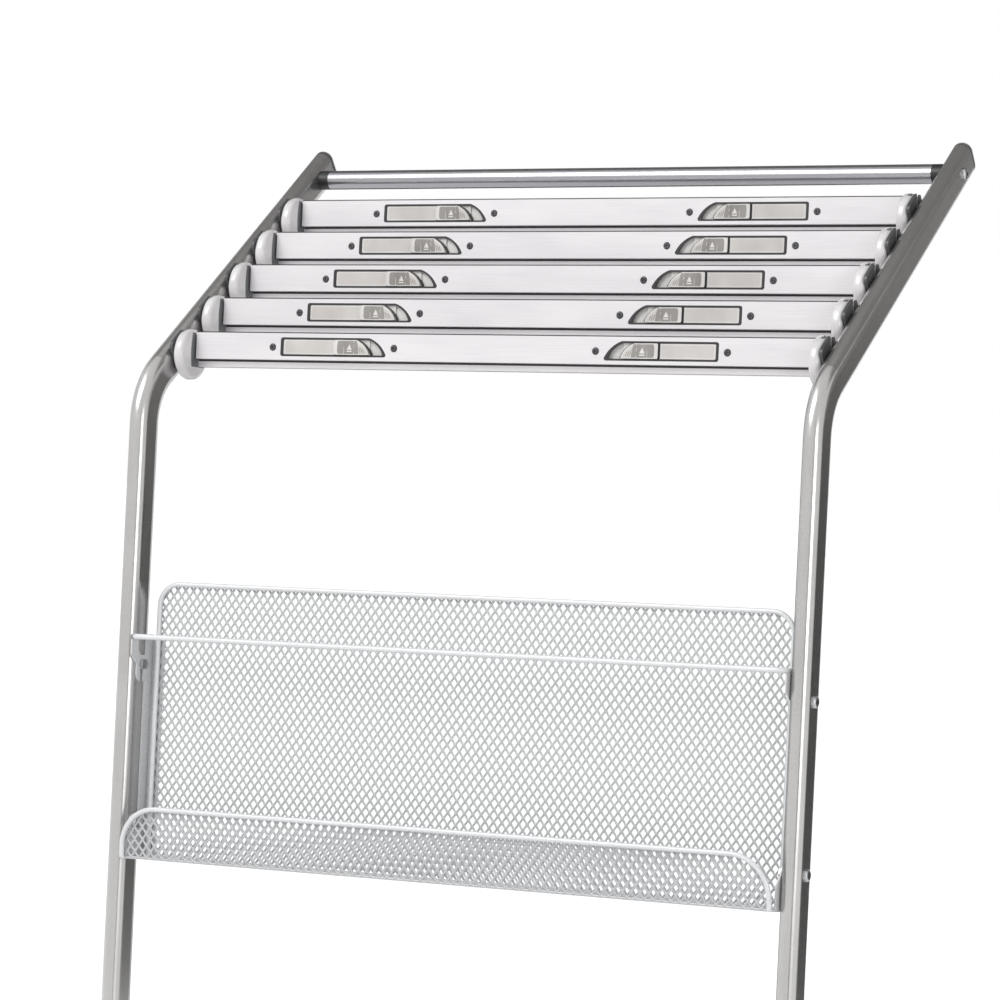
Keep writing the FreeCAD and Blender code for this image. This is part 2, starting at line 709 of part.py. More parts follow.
def make_guard_rail():
    """Wire in front of the magazines, turned back at each end along a bracket's top edge."""
    x, y, z = inner_width / 2 - rail_gap - rail_radius, rail_offset, rail_height
    r = rail_corner
    k = r * (1 - math.sqrt(0.5))
    right = [V(x, rail_return, z), V(x, y + r, z), V(x - k, y + k, z), V(x - r, y, z)]
    left = [V(-p.x, p.y, p.z) for p in right]
    edges = [Part.makeLine(right[0], right[1]), Part.Arc(right[1], right[2], right[3]).toShape(),
             Part.makeLine(right[3], left[3]), Part.Arc(left[3], left[2], left[1]).toShape(),
             Part.makeLine(left[1], left[0])]
    return in_tray(wire_along(edges, rail_radius, right[0], V(0, -1, 0)))


def make_bracket():
    """Right-hand tray bracket: U-shaped plate, bolt hook, edge strip, end plate and lug."""
    x0, x1 = bracket_inner_x(), inner_width / 2 - bracket_gap
    thick = V(x1 - x0, 0, 0)
    back = panel_offset + sheet_thickness + bracket_thickness
    top = rail_height - rail_radius
    low = top - bracket_height
    hole = bolt_radius + bolt_clearance

    def plate(points):
        return polygon([V(x0, y, z) for y, z in points]).extrude(thick)

    def disc(y, z, radius):
        return cylinder(radius, V(x0, y, z), V(x1, y, z))

    head = plate([(bracket_front, top), (bracket_front, low + bracket_taper),
                  (bracket_front + bracket_taper, low), (bracket_back, low), (bracket_back, top)])
    half = (bracket_slot_back - bracket_slot_front) / 2
    slot_low = top - bracket_slot_depth + half
    opening = fuse([plate([(bracket_slot_front, slot_low), (bracket_slot_front, top + 1),
                           (bracket_slot_back, top + 1), (bracket_slot_back, slot_low)]),
                    disc((bracket_slot_front + bracket_slot_back) / 2, slot_low, half)])
    hook_round = (hook_back - hook_front) / 2
    hook_low = upper_bolt - hook_drop + hook_round
    hook = fuse([plate([(hook_front, hook_low), (hook_front, low + 1),
                        (hook_back, low + 1), (hook_back, hook_low)]),
                 disc((hook_front + hook_back) / 2, hook_low, hook_round)])
    slot_end = hook_low - hook_round - 1
    hook_slot = fuse([plate([(-hole, slot_end), (-hole, upper_bolt), (hole, upper_bolt),
                             (hole, slot_end)]), disc(0, upper_bolt, hole)])
    web = plate([(web_front, 0), (web_front, top), (back, top), (back, 0)])
    floor_front = panel_offset - pocket_depth
    end_plate = plate([(floor_front, 0), (floor_front, lower_bolt - lower_lug_radius),
                       (-lower_lug_radius, lower_bolt), (back, lower_bolt), (back, 0)])
    end_plate = fuse([end_plate, disc(0, lower_bolt, lower_lug_radius)])
    side = fuse([head.cut(opening), hook.cut(opening), web, end_plate])
    side = side.cut(hook_slot).cut(disc(0, lower_bolt, hole))
    strip = box_between(V(panel_half_width - mesh_border, back - bracket_thickness, 0),
                        V(x1, back, top))
    return in_tray(fuse([side, strip]))


def make_nut(height):
    """Hexagon nut on the tray bolt, against the bracket."""
    face = bracket_inner_x()
    points = [V(face - nut_height, nut_radius * math.cos(i * math.pi / 3),
                height + nut_radius * math.sin(i * math.pi / 3)) for i in range(6)]
    body = polygon(points).extrude(X_AXIS * nut_height)
    return body.cut(cylinder(bolt_radius, V(face - nut_height - 1, 0, height),
                             V(face + 1, 0, height)))


# ---------------------------------------------------------------- write the nodes
nodes = {}


def add(name, shapes):
    solids = [s for shape in shapes for s in shape.Solids]
    nodes[name] = solids[0] if len(solids) == 1 else Part.makeCompound(solids)


top_bolt_at, low_bolt_at = frame_bolt_points()
add("left_post", [make_post(-1)])
add("right_post", [make_post(1)])
add("post_caps", both_sides(make_post_cap()))
add("left_foot", [make_foot(-1)])
add("right_foot", [make_foot(1)])
front_end, back_end = foot_ends()
plugs = both_sides(make_foot_plug(front_end, -1)) + both_sides(make_foot_plug(back_end, 1))
add("foot_plugs", plugs)
add("foot_glides", [g for y in glide_places() for g in both_sides(make_glide(y))])
add("top_cross_tube", [make_cross_tube(top_bolt_at)])
add("lower_cross_tube", [make_cross_tube(low_bolt_at)])
add("cross_tube_collars", both_sides(make_collar(top_bolt_at)) + both_sides(make_collar(low_bolt_at)))
bolt_end = inner_width / 2 - collar_length - collar_spigot
frame_bolts = [button_bolt(top_bolt_at, bolt_end), button_bolt(low_bolt_at, bolt_end)]
add("cross_tube_bolts", [b for bolt in frame_bolts for b in both_sides(bolt)])
add("clamp_saddles", [s for i in range(clamp_count) for s in both_sides(make_saddle(i))])

face_bar, rear_bar = make_face_bar(), make_rear_bar()
end_cap, slide, keeper = make_end_cap(), make_slide(), make_keeper()
screws = both_sides(make_screw(screw_inner)) + both_sides(make_screw(screw_outer))
for i in range(clamp_count):
    prefix = "clamp_%d_" % (i + 1)
    add(prefix + "rear_bar", [placed(rear_bar, i)])
    add(prefix + "end_caps", [placed(s, i) for s in both_sides(end_cap)])
    add(prefix + "face_bar", [placed(face_bar, i)])
    add(prefix + "latch_keepers", [placed(s, i) for s in both_sides(keeper)])
    add(prefix + "latch_screws", [placed(s, i) for s in screws])
    add(prefix + "left_slide", [placed(mirrored(slide), i)])
    add(prefix + "right_slide", [placed(slide, i)])

add("tray_panel", [make_panel()])
add("tray_panel_rim", [make_panel_rim()])
add("tray_floor", [make_floor()])
add("tray_lip", [make_lip()])
add("tray_lip_rim", [make_lip_rim()])
add("guard_rail", [make_guard_rail()])
bracket = make_bracket()
add("left_tray_bracket", [mirrored(bracket)])
add("right_tray_bracket", [bracket])
tray_bolt_tip = bracket_inner_x() - nut_height
tray_bolts = [button_bolt(p, tray_bolt_tip) for p in tray_bolt_points()]
add("tray_bolts", [b for bolt in tray_bolts for b in both_sides(bolt)])
tray_nuts = [in_tray(make_nut(h)) for h in (upper_bolt, lower_bolt)]
add("tray_nuts", [n for nut in tray_nuts for n in both_sides(nut)])

os.makedirs("parts", exist_ok=True)
for name, shape in nodes.items():
    shape.exportStep("parts/%s.step" % name)
    bound = shape.BoundBox
    print("%-26s solids %2d valid %s vol %9.0f  x %.1f %.1f y %.1f %.1f z %.1f %.1f" % (
        name, len(shape.Solids), shape.isValid(), shape.Volume,
        bound.XMin, bound.XMax, bound.YMin, bound.YMax, bound.ZMin, bound.ZMax))
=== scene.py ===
# %% [markdown]
# # A periodical display rack
#
# This lesson dresses a rack that was built elsewhere as solid parts: a stand of bent flat-oval tube,
# five newspaper clamps on its sloping head, and a magazine tray of expanded mesh between its posts.
# The solid parts arrive as a frame that must not be moved. Here they get their finishes, and the
# pieces that are too fine for the solid model are made as surfaces: the real expanded mesh of the
# tray and the small trims of the latches and bars.

import json
import math

import bmesh
import bpy
import numpy as np
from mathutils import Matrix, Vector


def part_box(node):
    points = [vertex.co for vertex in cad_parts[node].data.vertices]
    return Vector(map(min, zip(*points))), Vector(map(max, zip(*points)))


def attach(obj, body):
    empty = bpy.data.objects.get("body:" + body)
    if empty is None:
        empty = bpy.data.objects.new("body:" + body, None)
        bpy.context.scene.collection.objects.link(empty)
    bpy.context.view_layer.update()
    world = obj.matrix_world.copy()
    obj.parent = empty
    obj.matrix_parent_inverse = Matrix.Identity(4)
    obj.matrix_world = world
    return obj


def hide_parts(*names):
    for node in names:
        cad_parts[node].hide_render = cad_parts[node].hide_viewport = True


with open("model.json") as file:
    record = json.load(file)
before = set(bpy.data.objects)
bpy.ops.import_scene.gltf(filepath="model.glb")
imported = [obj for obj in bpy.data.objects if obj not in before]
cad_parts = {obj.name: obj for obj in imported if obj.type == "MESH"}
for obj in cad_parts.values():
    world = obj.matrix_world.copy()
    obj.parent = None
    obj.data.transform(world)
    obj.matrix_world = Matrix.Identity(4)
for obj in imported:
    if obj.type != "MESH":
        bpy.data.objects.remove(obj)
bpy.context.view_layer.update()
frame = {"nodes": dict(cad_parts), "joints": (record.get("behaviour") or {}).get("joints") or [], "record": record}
nodes = frame["nodes"]
joints = {joint["name"]: joint for joint in frame["joints"]}
MM = 0.001             # Blender counts in metres, so a length in millimetres is multiplied by this

# %% [markdown]
# ## Colours and materials: a few small helpers
#
# A colour is written as the sRGB hex value that one would pick on a screen, and a shader wants
# linear light, so one function turns the first into the second. A material is a tree of nodes, so
# another helper adds one node, sets its values and joins its inputs. Two more set a colour ramp's
# stops and join what a pattern gives to the shader. Each finish below then reads as a recipe.

# %% Colour
def hex_colour(text):
    """sRGB hex to linear RGBA: the two-piece sRGB curve, undone for each channel."""
    value = np.array([int(text[i:i + 2], 16) / 255 for i in (1, 3, 5)])
    linear = np.where(value <= 0.04045, value / 12.92, ((value + 0.055) / 1.055) ** 2.4)
    return (*linear, 1.0)


# %% Nodes and a material's shader
def add_node(tree, kind, values=None, links=None, **settings):
    """Adds a node: settings are its own options, values its input numbers, links its inputs' sources."""
    node = tree.nodes.new(kind)
    for name, value in settings.items():
        setattr(node, name, value)
    for name, value in (values or {}).items():
        node.inputs[name].default_value = value
    for name, source in (links or {}).items():
        tree.links.new(source, node.inputs[name])
    return node


def new_finish(name, **surface):
    """A material whose shader sockets hold the constants. Returns it with its tree and shader."""
    material = bpy.data.materials.new(name)
    material.use_nodes = True
    tree = material.node_tree
    shader = tree.nodes["Principled BSDF"]
    for socket, value in surface.items():
        shader.inputs[socket.replace("_", " ")].default_value = value
    return material, tree, shader


# %% Patterns
def two_tones(ramp, *stops):
    """Sets the two stops of a colour ramp, each given as (position, hex colour)."""
    for element, (position, colour) in zip(ramp.color_ramp.elements, stops):
        element.position = position
        element.color = hex_colour(colour)


def drive(tree, shader, **sources):
    """Joins patterns to the shader's sockets, whose names are written with _ for a blank."""
    for socket, source in sources.items():
        tree.links.new(source, shader.inputs[socket.replace("_", " ")])


def object_place(tree, *grain_mm):
    """Object coordinates divided by a pattern's real grain size in mm, given once or for each axis."""
    place = add_node(tree, "ShaderNodeTexCoord")
    scale = tuple(1 / (size * MM) for size in np.broadcast_to(grain_mm, 3))
    return add_node(tree, "ShaderNodeMapping", {"Scale": scale},
                    {"Vector": place.outputs["Object"]}).outputs["Vector"]


# %% [markdown]
# ## Silver powder coat on the posts and feet
#
# The stand is mild-steel tube with a silver polyester powder coat. The powder melts into a film
# with a faint orange peel, and it is full of aluminium flakes, so it shines nearly as a metal does
# and takes its shades from the room: bright along the tube's round nose, dark on its flat sides.
# The peel's waves are about 1.5 mm apart. The flakes cluster over a few tenths of a millimetre,
# drawn at 0.8 mm to show, and the film's thickness drifts over some 60 mm.

# %% Silver powder coat
FLAKES, FILM_DRIFT, PEEL = 0.8, 60, 1.5


def silver_powder_coat():
    """Tone from the flakes plus a third of the drift, gloss from the flakes, bump from the peel."""
    material, tree, shader = new_finish("powder_coated_steel_silver", Metallic=0.92)
    flakes = add_node(tree, "ShaderNodeTexNoise", {"Scale": 1.0, "Detail": 2.0},
                      {"Vector": object_place(tree, FLAKES)})
    drift = add_node(tree, "ShaderNodeTexNoise", {"Scale": 1.0, "Detail": 1.0},
                     {"Vector": object_place(tree, FILM_DRIFT)})
    weak_drift = add_node(tree, "ShaderNodeMath", {1: 0.35}, {0: drift.outputs["Fac"]},
                          operation="MULTIPLY")
    mixed = add_node(tree, "ShaderNodeMath", {},
                     {0: flakes.outputs["Fac"], 1: weak_drift.outputs[0]}, operation="ADD")
    tone = add_node(tree, "ShaderNodeValToRGB", {}, {"Fac": mixed.outputs[0]})
    two_tones(tone, (0.45, "#B2B1B0"), (0.95, "#C8C7C6"))
    gloss = add_node(tree, "ShaderNodeMapRange", {"To Min": 0.20, "To Max": 0.29},
                     {"Value": flakes.outputs["Fac"]})
    peel = add_node(tree, "ShaderNodeTexNoise", {"Scale": 1.0, "Detail": 2.0},
                    {"Vector": object_place(tree, PEEL)})
    bump = add_node(tree, "ShaderNodeBump", {"Strength": 0.12, "Distance": 0.1 * MM},
                    {"Height": peel.outputs["Fac"]})
    drive(tree, shader, Base_Color=tone.outputs["Color"], Roughness=gloss.outputs["Result"],
          Normal=bump.outputs["Normal"])
    return material


# %% [markdown]
# ## Satin anodised aluminium on the clamps
#
# The clamp's face is an aluminium extrusion, brushed along its length and then anodised clear. The
# brushing leaves fine lines along X: a noise pattern squeezed to 0.35 mm across and stretched to
# 45 mm along gives them, and it moves the tone, the roughness and the bump. The bar behind is the
# same extrusion, so one recipe makes both.

# %% Brushed and anodised aluminium
BRUSH_ACROSS, BRUSH_ALONG = 0.35, 45.0
ANODISE_ALONG, ANODISE_ACROSS = 90, 30


def brushed_anodised_aluminium():
    """Tone from the brushed lines mixed with a slow drift, gloss and bump from the lines."""
    material, tree, shader = new_finish("anodised_aluminium_satin", Metallic=0.3, Anisotropic=0.35)
    lines = add_node(tree, "ShaderNodeTexNoise", {"Scale": 1.0, "Detail": 3.0},
                     {"Vector": object_place(tree, BRUSH_ALONG, BRUSH_ACROSS, BRUSH_ACROSS)})
    drift = add_node(tree, "ShaderNodeTexNoise", {"Scale": 1.0, "Detail": 1.0},
                     {"Vector": object_place(tree, ANODISE_ALONG, ANODISE_ACROSS, ANODISE_ACROSS)})
    mixed = add_node(tree, "ShaderNodeMix", {0: 0.45},
                     {2: lines.outputs["Fac"], 3: drift.outputs["Fac"]}, data_type="FLOAT")
    tone = add_node(tree, "ShaderNodeValToRGB", {}, {"Fac": mixed.outputs[0]})
    two_tones(tone, (0.3, "#DCDADC"), (0.7, "#EFECEE"))
    gloss = add_node(tree, "ShaderNodeMapRange", {"To Min": 0.26, "To Max": 0.42},
                     {"Value": lines.outputs["Fac"]})
    bump = add_node(tree, "ShaderNodeBump", {"Strength": 0.10, "Distance": 0.05 * MM},
                    {"Height": lines.outputs["Fac"]})
    drive(tree, shader, Base_Color=tone.outputs["Color"], Roughness=gloss.outputs["Result"],
          Normal=bump.outputs["Normal"])
    return material


# %% [markdown]
# ## Plated tube and fasteners
#
# The cross tubes are polished steel with a satin nickel plate: a mid-grey metal whose highlight
# runs along the tube as one broad band, softened by polishing lines that run round it, so the noise
# is squeezed along X. Bolts are zinc plated and the latch screws are blackened, and both are
# mottled in patches of about a millimetre and a half.

# %% Plated metals
POLISH_ALONG, POLISH_ROUND = 0.8, 25
MOTTLE = 1.5


def satin_nickel_plate():
    """One tone, with its gloss from the polishing lines."""
    material, tree, shader = new_finish("satin_nickel_plate", Metallic=1.0,
                                        Base_Color=hex_colour("#A3A3A7"))
    lines = add_node(tree, "ShaderNodeTexNoise", {"Scale": 1.0, "Detail": 2.0},
                     {"Vector": object_place(tree, POLISH_ALONG, POLISH_ROUND, POLISH_ROUND)})
    gloss = add_node(tree, "ShaderNodeMapRange", {"To Min": 0.20, "To Max": 0.30},
                     {"Value": lines.outputs["Fac"]})
    drive(tree, shader, Roughness=gloss.outputs["Result"])
    return material


def treated_steel(name, dark_tone, light_tone):
    """Tone and gloss from the mottle."""
    material, tree, shader = new_finish(name, Metallic=1.0)
    mottle = add_node(tree, "ShaderNodeTexNoise", {"Scale": 1.0, "Detail": 3.0},
                      {"Vector": object_place(tree, MOTTLE)})
    tone = add_node(tree, "ShaderNodeValToRGB", {}, {"Fac": mottle.outputs["Fac"]})
    two_tones(tone, (0.35, dark_tone), (0.7, light_tone))
    gloss = add_node(tree, "ShaderNodeMapRange", {"To Min": 0.22, "To Max": 0.36},
                     {"Value": mottle.outputs["Fac"]})
    drive(tree, shader, Base_Color=tone.outputs["Color"], Roughness=gloss.outputs["Result"])
    return material


# %% [markdown]
# ## Moulded plastics
#
# End caps, latch slides, plugs and glides are injection moulded. A mould is spark eroded, which
# leaves a fine even grain, about 0.4 mm here so that it shows, and the plastic's flow gives slow
# changes of tone over a few centimetres. One recipe takes the two tones, the gloss and the name.

# %% Moulded plastic
MOULD_GRAIN, FLOW = 0.4, 35


def moulded_plastic(name, dark_tone, light_tone, smooth, rough, coat=0.0):
    """Tone from the flow, gloss between smooth and rough and bump from the grain."""
    material, tree, shader = new_finish(name, IOR=1.53, Coat_Weight=coat, Coat_Roughness=0.12)
    flow = add_node(tree, "ShaderNodeTexNoise", {"Scale": 1.0, "Detail": 2.0},
                    {"Vector": object_place(tree, FLOW)})
    tone = add_node(tree, "ShaderNodeValToRGB", {}, {"Fac": flow.outputs["Fac"]})
    two_tones(tone, (0.35, dark_tone), (0.65, light_tone))
    grain = add_node(tree, "ShaderNodeTexNoise", {"Scale": 1.0, "Detail": 1.0},
                     {"Vector": object_place(tree, MOULD_GRAIN)})
    gloss = add_node(tree, "ShaderNodeMapRange", {"To Min": smooth, "To Max": rough},
                     {"Value": grain.outputs["Fac"]})
    bump = add_node(tree, "ShaderNodeBump", {"Strength": 0.08, "Distance": 0.05 * MM},
                    {"Height": grain.outputs["Fac"]})
    drive(tree, shader, Base_Color=tone.outputs["Color"], Roughness=gloss.outputs["Result"],
          Normal=bump.outputs["Normal"])
    return material


# %% [markdown]
# ## Pale coating on the mesh and wires
#
# The tray is dipped or sprayed with a pale silver-white epoxy. It is thick on the wires and pulls
# off the sharp edges, so the tone changes a little every few millimetres and the surface has soft
# lumps about 2 mm across. On the thin strands of the mesh it stays greyer than on the wires.

# %% Pale epoxy coat
LUMPS = 2


def pale_epoxy_coat(name, dark_tone, light_tone):
    """Tone, gloss and bump from the lumps."""
    material, tree, shader = new_finish(name, IOR=1.5, Metallic=0.12)
    lumps = add_node(tree, "ShaderNodeTexNoise", {"Scale": 1.0, "Detail": 2.0},
                     {"Vector": object_place(tree, LUMPS)})
    tone = add_node(tree, "ShaderNodeValToRGB", {}, {"Fac": lumps.outputs["Fac"]})
    two_tones(tone, (0.3, dark_tone), (0.7, light_tone))
    gloss = add_node(tree, "ShaderNodeMapRange", {"To Min": 0.30, "To Max": 0.45},
                     {"Value": lumps.outputs["Fac"]})
    bump = add_node(tree, "ShaderNodeBump", {"Strength": 0.15, "Distance": 0.08 * MM},
                    {"Height": lumps.outputs["Fac"]})
    drive(tree, shader, Base_Color=tone.outputs["Color"], Roughness=gloss.outputs["Result"],
          Normal=bump.outputs["Normal"])
    return material


# %% [markdown]
# ## Each solid node gets its finish
#
# The record names a finish slot for every node, so one table from slot to material dresses the
# whole frame. The nodes themselves aren't touched. The saddles are black nylon that the clamps have
# rubbed grey, so they get a paler mix of the same plastic.

# %% Dress the solid nodes
finishes = {
    "silver_paint": silver_powder_coat(),
    "satin_aluminium": brushed_anodised_aluminium(),
    "bright_tube": satin_nickel_plate(),
    "zinc_steel": treated_steel("zinc_plated_steel", "#9FA0A2", "#CFD0D2"),
    "black_steel": treated_steel("black_oxide_steel", "#474648", "#6A696C"),
    "light_grey_plastic": moulded_plastic("moulded_abs_light_grey", "#D8D6D7", "#E6E4E5", 0.18,
                                          0.26, coat=0.3),
    "silver_plastic": moulded_plastic("moulded_acrylic_frosted", "#D6D3D0", "#E4E1DE", 0.24, 0.34,
                                      coat=0.3),
    "grey_plastic": moulded_plastic("moulded_abs_mid_grey", "#5E5F61", "#6E6F71", 0.35, 0.48),
    "black_plastic": moulded_plastic("moulded_nylon_black", "#141416", "#232326", 0.34, 0.48),
    "white_mesh": pale_epoxy_coat("epoxy_coated_steel_white", "#DFE0E2", "#ECEDEE"),
    "bracket_paint": pale_epoxy_coat("epoxy_coated_steel_pale", "#D6D7D9", "#E6E7E8"),
}
worn_nylon = moulded_plastic("moulded_nylon_worn_black", "#424244", "#535355", 0.3, 0.42)
slot_of = {row["node"]: row["material_slot"] for row in frame["record"]["subparts"]}
for name, node in nodes.items():
    node.data.materials.clear()
    node.data.materials.append(worn_nylon if name == "clamp_saddles" else finishes[slot_of[name]])
print("finishes:", len(finishes) + 1, "on", len(nodes), "nodes")

# %% [markdown]
# ## The tray's own directions
#
# The tray leans back with the posts, so its mesh is worked out flat, as x across and z up, and then
# placed by one point and two directions. The point and the size come from the solid sheets' boxes.
# The lip flares forward from the posts' lean as it rises, so it ends up just forward of upright.

# %% Places of the sheets
LEAN = math.radians(6.0)
SHEET = 1.6 * MM             # thickness of the solid sheets
LIP_FLARE, LIP_HEIGHT = 6.0 * MM, 50.0 * MM
LIP_LEAN = LEAN - math.atan2(LIP_FLARE, LIP_HEIGHT)
ACROSS = np.array([1.0, 0, 0])


def directions(lean):
    """(up, back) for a sheet leaned back by an angle from the vertical."""
    up = np.array([0, math.sin(lean), math.cos(lean)])
    back = np.array([0, math.cos(lean), -math.sin(lean)])
    return up, back


def sheet_origin(node, lean):
    """The middle of a leaned solid sheet's lower front edge, from its box: the box's front is that
    edge when the sheet leans back, and the box's bottom is the rear edge, one sheet behind it."""
    low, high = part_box(node)
    z = low.z + SHEET * math.sin(lean) if lean > 0 else low.z
    y = low.y if lean > 0 else high.y - SHEET * math.cos(lean)
    return np.array([0, y, z])


# %% [markdown]
# ## Expanded mesh
#
# Expanded metal is one sheet, slit and pulled until each slit opens into a diamond. A texture would
# vanish from the side, so the strands are real: the sheet is tiled with rhombi, and each rhombus is
# a ring of surface from the crest of its strands down into its hole and up the other side. Whole
# arrays of rings are computed at once, and the points that fall outside the sheet's outline are
# drawn back onto it, which leaves the cut diamonds that a real sheet has at its edge.

# %% The sheet's outline
SMALLEST_RADIUS = 1e-6       # metres: keeps a sheet's corner from vanishing


def keep_inside(points, half_low, half_high, height, corner, inset):
    """Draws points back onto an outline that is square below and rounded above. A point's x is
    limited to the slanting side, its z to the height, and past a corner's centre its distance from
    that centre to the corner's radius."""
    x, z = points[..., 0].copy(), points[..., 1].copy()
    high = height - inset
    z = np.clip(z, inset, high)
    side = half_low + (half_high - half_low) * z / height - inset
    x = np.clip(x, -side, side)
    radius = max(corner - inset, SMALLEST_RADIUS)
    centre_x, centre_z = side - radius, high - radius
    dx, dz = np.abs(x) - centre_x, z - centre_z
    away = np.hypot(dx, dz)
    past = (dx > 0) & (dz > 0) & (away > radius)
    pull = np.where(past, radius / np.where(away > 0, away, 1), 1)
    x = np.where(past, np.sign(x) * (centre_x + dx * pull), x)
    z = np.where(past, centre_z + dz * pull, z)
    return np.stack([x, z], -1)


# %% Rings of the mesh
SAME_PLACE = 1e-7            # metres: a point that moved by less hasn't moved
HOLE_TIP = 0.97              # share of its length that a hole's tip keeps, as the pull rounds it


def expanded_mesh(half_low, half_high, height, corner, pitch_x, pitch_z, strand, thick):
    """Rings of points for every rhombus: eight directions round a rhombus with half diagonals
    pitch_x/2 and pitch_z/2, at four depths. The outer two rings lie on the tile's edge at the
    front and back of the sheet, and the inner two lie on the hole's edge."""
    a, b = pitch_x / 2, pitch_z / 2
    columns = int(round(half_low / a)) + 1
    rows = int(round(height / b)) + 1
    i, j = np.meshgrid(np.arange(-columns, columns + 1), np.arange(0, rows + 1), indexing="ij")
    keep = (i + j) % 2 == 0
    centre = np.stack([i[keep] * a, j[keep] * b], -1)
    turn = np.arange(8) * math.pi / 4
    reach = np.array([1, 0.5] * 4)            # the rhombus's tips, and the middles of its sides
    tile = np.stack([np.sign(np.round(np.cos(turn), 6)) * a, np.sign(np.round(np.sin(turn), 6)) * b],
                    -1) * reach[:, None]
    hole_share = 1 - strand * math.hypot(a, b) / (2 * a * b)
    round_tip = np.where(reach == 1, HOLE_TIP, 1.0)
    outer = centre[:, None, :] + tile
    inner = centre[:, None, :] + tile * hole_share * round_tip[:, None]
    inside = keep_inside(outer, half_low, half_high, height, corner, 0.0)
    used = (np.abs(inside - outer).max(-1) < SAME_PLACE).sum(1) > 1
    outer = inside[used]
    inner = keep_inside(inner[used], half_low, half_high, height, corner, strand / 2)
    layers = [(outer, -thick / 2), (inner, -thick / 4), (inner, thick / 4), (outer, thick / 2)]
    return [np.concatenate([ring, np.full(ring.shape[:2] + (1,), depth)], -1)
            for ring, depth in layers]


# %% [markdown]
# ## From arrays to an object
#
# Every surface below ends in the same function, which puts its points and faces into a new object
# at the origin and merges the points that meet. The mesh's rings become quads on the way there.

# %% Objects from arrays
MERGE = 0.004 * MM           # points closer than this become one


def mesh_object(name, points, faces, finish, smooth=True, closed=False):
    """Puts arrays of points and faces into a new object at the origin, with its doubles merged.
    A closed shape's faces are then turned outwards."""
    data = bpy.data.meshes.new(name)
    data.from_pydata(points.reshape(-1, 3).tolist(), [], faces.tolist())
    shape = bmesh.new()
    shape.from_mesh(data)
    bmesh.ops.remove_doubles(shape, verts=shape.verts, dist=MERGE)
    bmesh.ops.dissolve_degenerate(shape, edges=shape.edges, dist=MERGE)
    if closed:
        bmesh.ops.recalc_face_normals(shape, faces=shape.faces)
    shape.to_mesh(data)
    shape.free()
    if smooth:
        data.polygons.foreach_set("use_smooth", np.ones(len(data.polygons), bool))
    data.materials.append(finish)
    made = bpy.data.objects.new(name, data)
    bpy.context.scene.collection.objects.link(made)
    print(name, len(data.vertices), "points,", len(data.polygons), "faces")
    return made


def lay_mesh(name, layers, origin, up, back, finish):
    """Places rings (x, z, depth) as origin + x across + z up + depth back, and joins each ring to
    the next with quads that face out of the strand."""
    rings = np.stack(layers)                      # layer, tile, direction, (x, z, depth)
    placed = origin + rings[..., :1] * ACROSS + rings[..., 1:2] * up + rings[..., 2:] * back
    index = np.arange(placed[..., 0].size).reshape(placed.shape[:-1])
    after = np.roll(index, -1, axis=2)
    quads = np.stack([index[:-1], after[:-1], after[1:], index[1:]], -1).reshape(-1, 4)
    return mesh_object(name, placed, quads, finish)


# %% [markdown]
# ## The tray's panel and lip
#
# The diamonds are 9.15 mm wide and 11.8 mm high, and the strands are 2.2 mm. Each sheet's pitch is
# nudged so that a whole number of half diamonds fills its width, as if it was cut along a row. The
# upper corners are rounded, the lip's more than the panel's, and the lip narrows a little as it rises.

# %% Panel and lip
DIAMOND_WIDE, DIAMOND_HIGH, STRAND = 9.15 * MM, 11.8 * MM, 2.2 * MM
MESH_THICK = 1.4 * MM
PANEL_CORNER, LIP_CORNER, LIP_HALF_HIGH = 22 * MM, 40 * MM, 350.5 * MM
strand_coat = pale_epoxy_coat("epoxy_coated_strand_grey", "#BABCBE", "#CCCECF")


def fitted(pitch, length):
    """The pitch nearest to the wanted one whose half fits the length a whole number of times."""
    return 2 * length / round(2 * length / pitch)


def tray_sheet(name, node, lean, corner, half_high=None):
    """The mesh in place of a solid sheet, whose half width is half its box's width and whose height
    is its box's, less what its thickness adds, over the lean's cosine."""
    low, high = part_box(node)
    half = (high.x - low.x) / 2
    height = (high.z - low.z - SHEET * abs(math.sin(lean))) / math.cos(lean)
    up, back = directions(lean)
    layers = expanded_mesh(half, half_high or half, height, corner,
                           fitted(DIAMOND_WIDE, half), fitted(DIAMOND_HIGH, height),
                           STRAND, MESH_THICK)
    made = lay_mesh(name, layers, sheet_origin(node, lean) + back * SHEET / 2, up, back,
                    strand_coat)
    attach(made, "stand")
    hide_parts(node)


tray_sheet("tray_panel_mesh", "tray_panel", LEAN, PANEL_CORNER)
tray_sheet("tray_lip_mesh", "tray_lip", LIP_LEAN, LIP_CORNER, LIP_HALF_HIGH)

# %% [markdown]
# ## Laying trims on a clamp
#
# The small trims of a clamp are worked out upright, with x along the bar, y back from its face and
# z up from the line of its screws, and then leaned with the posts about the clamp's own pivot, whose
# place comes from its joint. A trim is a thin closed skin: a front sheet, the same sheet set back
# into the solid that carries it, and an edge between the two. What bends round a corner is a
# moulding instead: a closed profile carried along a path.

# %% A clamp's place
PIVOT_BACK, PIVOT_UP = 2.5 * MM, 12.5 * MM
UP, BACK = directions(LEAN)


def in_clamp(number, points):
    """Clamp points to the rack: pivot + x across + (y - pivot's y) back + (z - pivot's z) up."""
    _, pivot_y, pivot_z = joints[f"clamp_{number}_open"]["pos_m"]
    y, z = points[:, 1:2] - PIVOT_BACK, points[:, 2:] - PIVOT_UP
    return np.array([0, pivot_y, pivot_z]) + points[:, :1] * ACROSS + y * BACK + z * UP


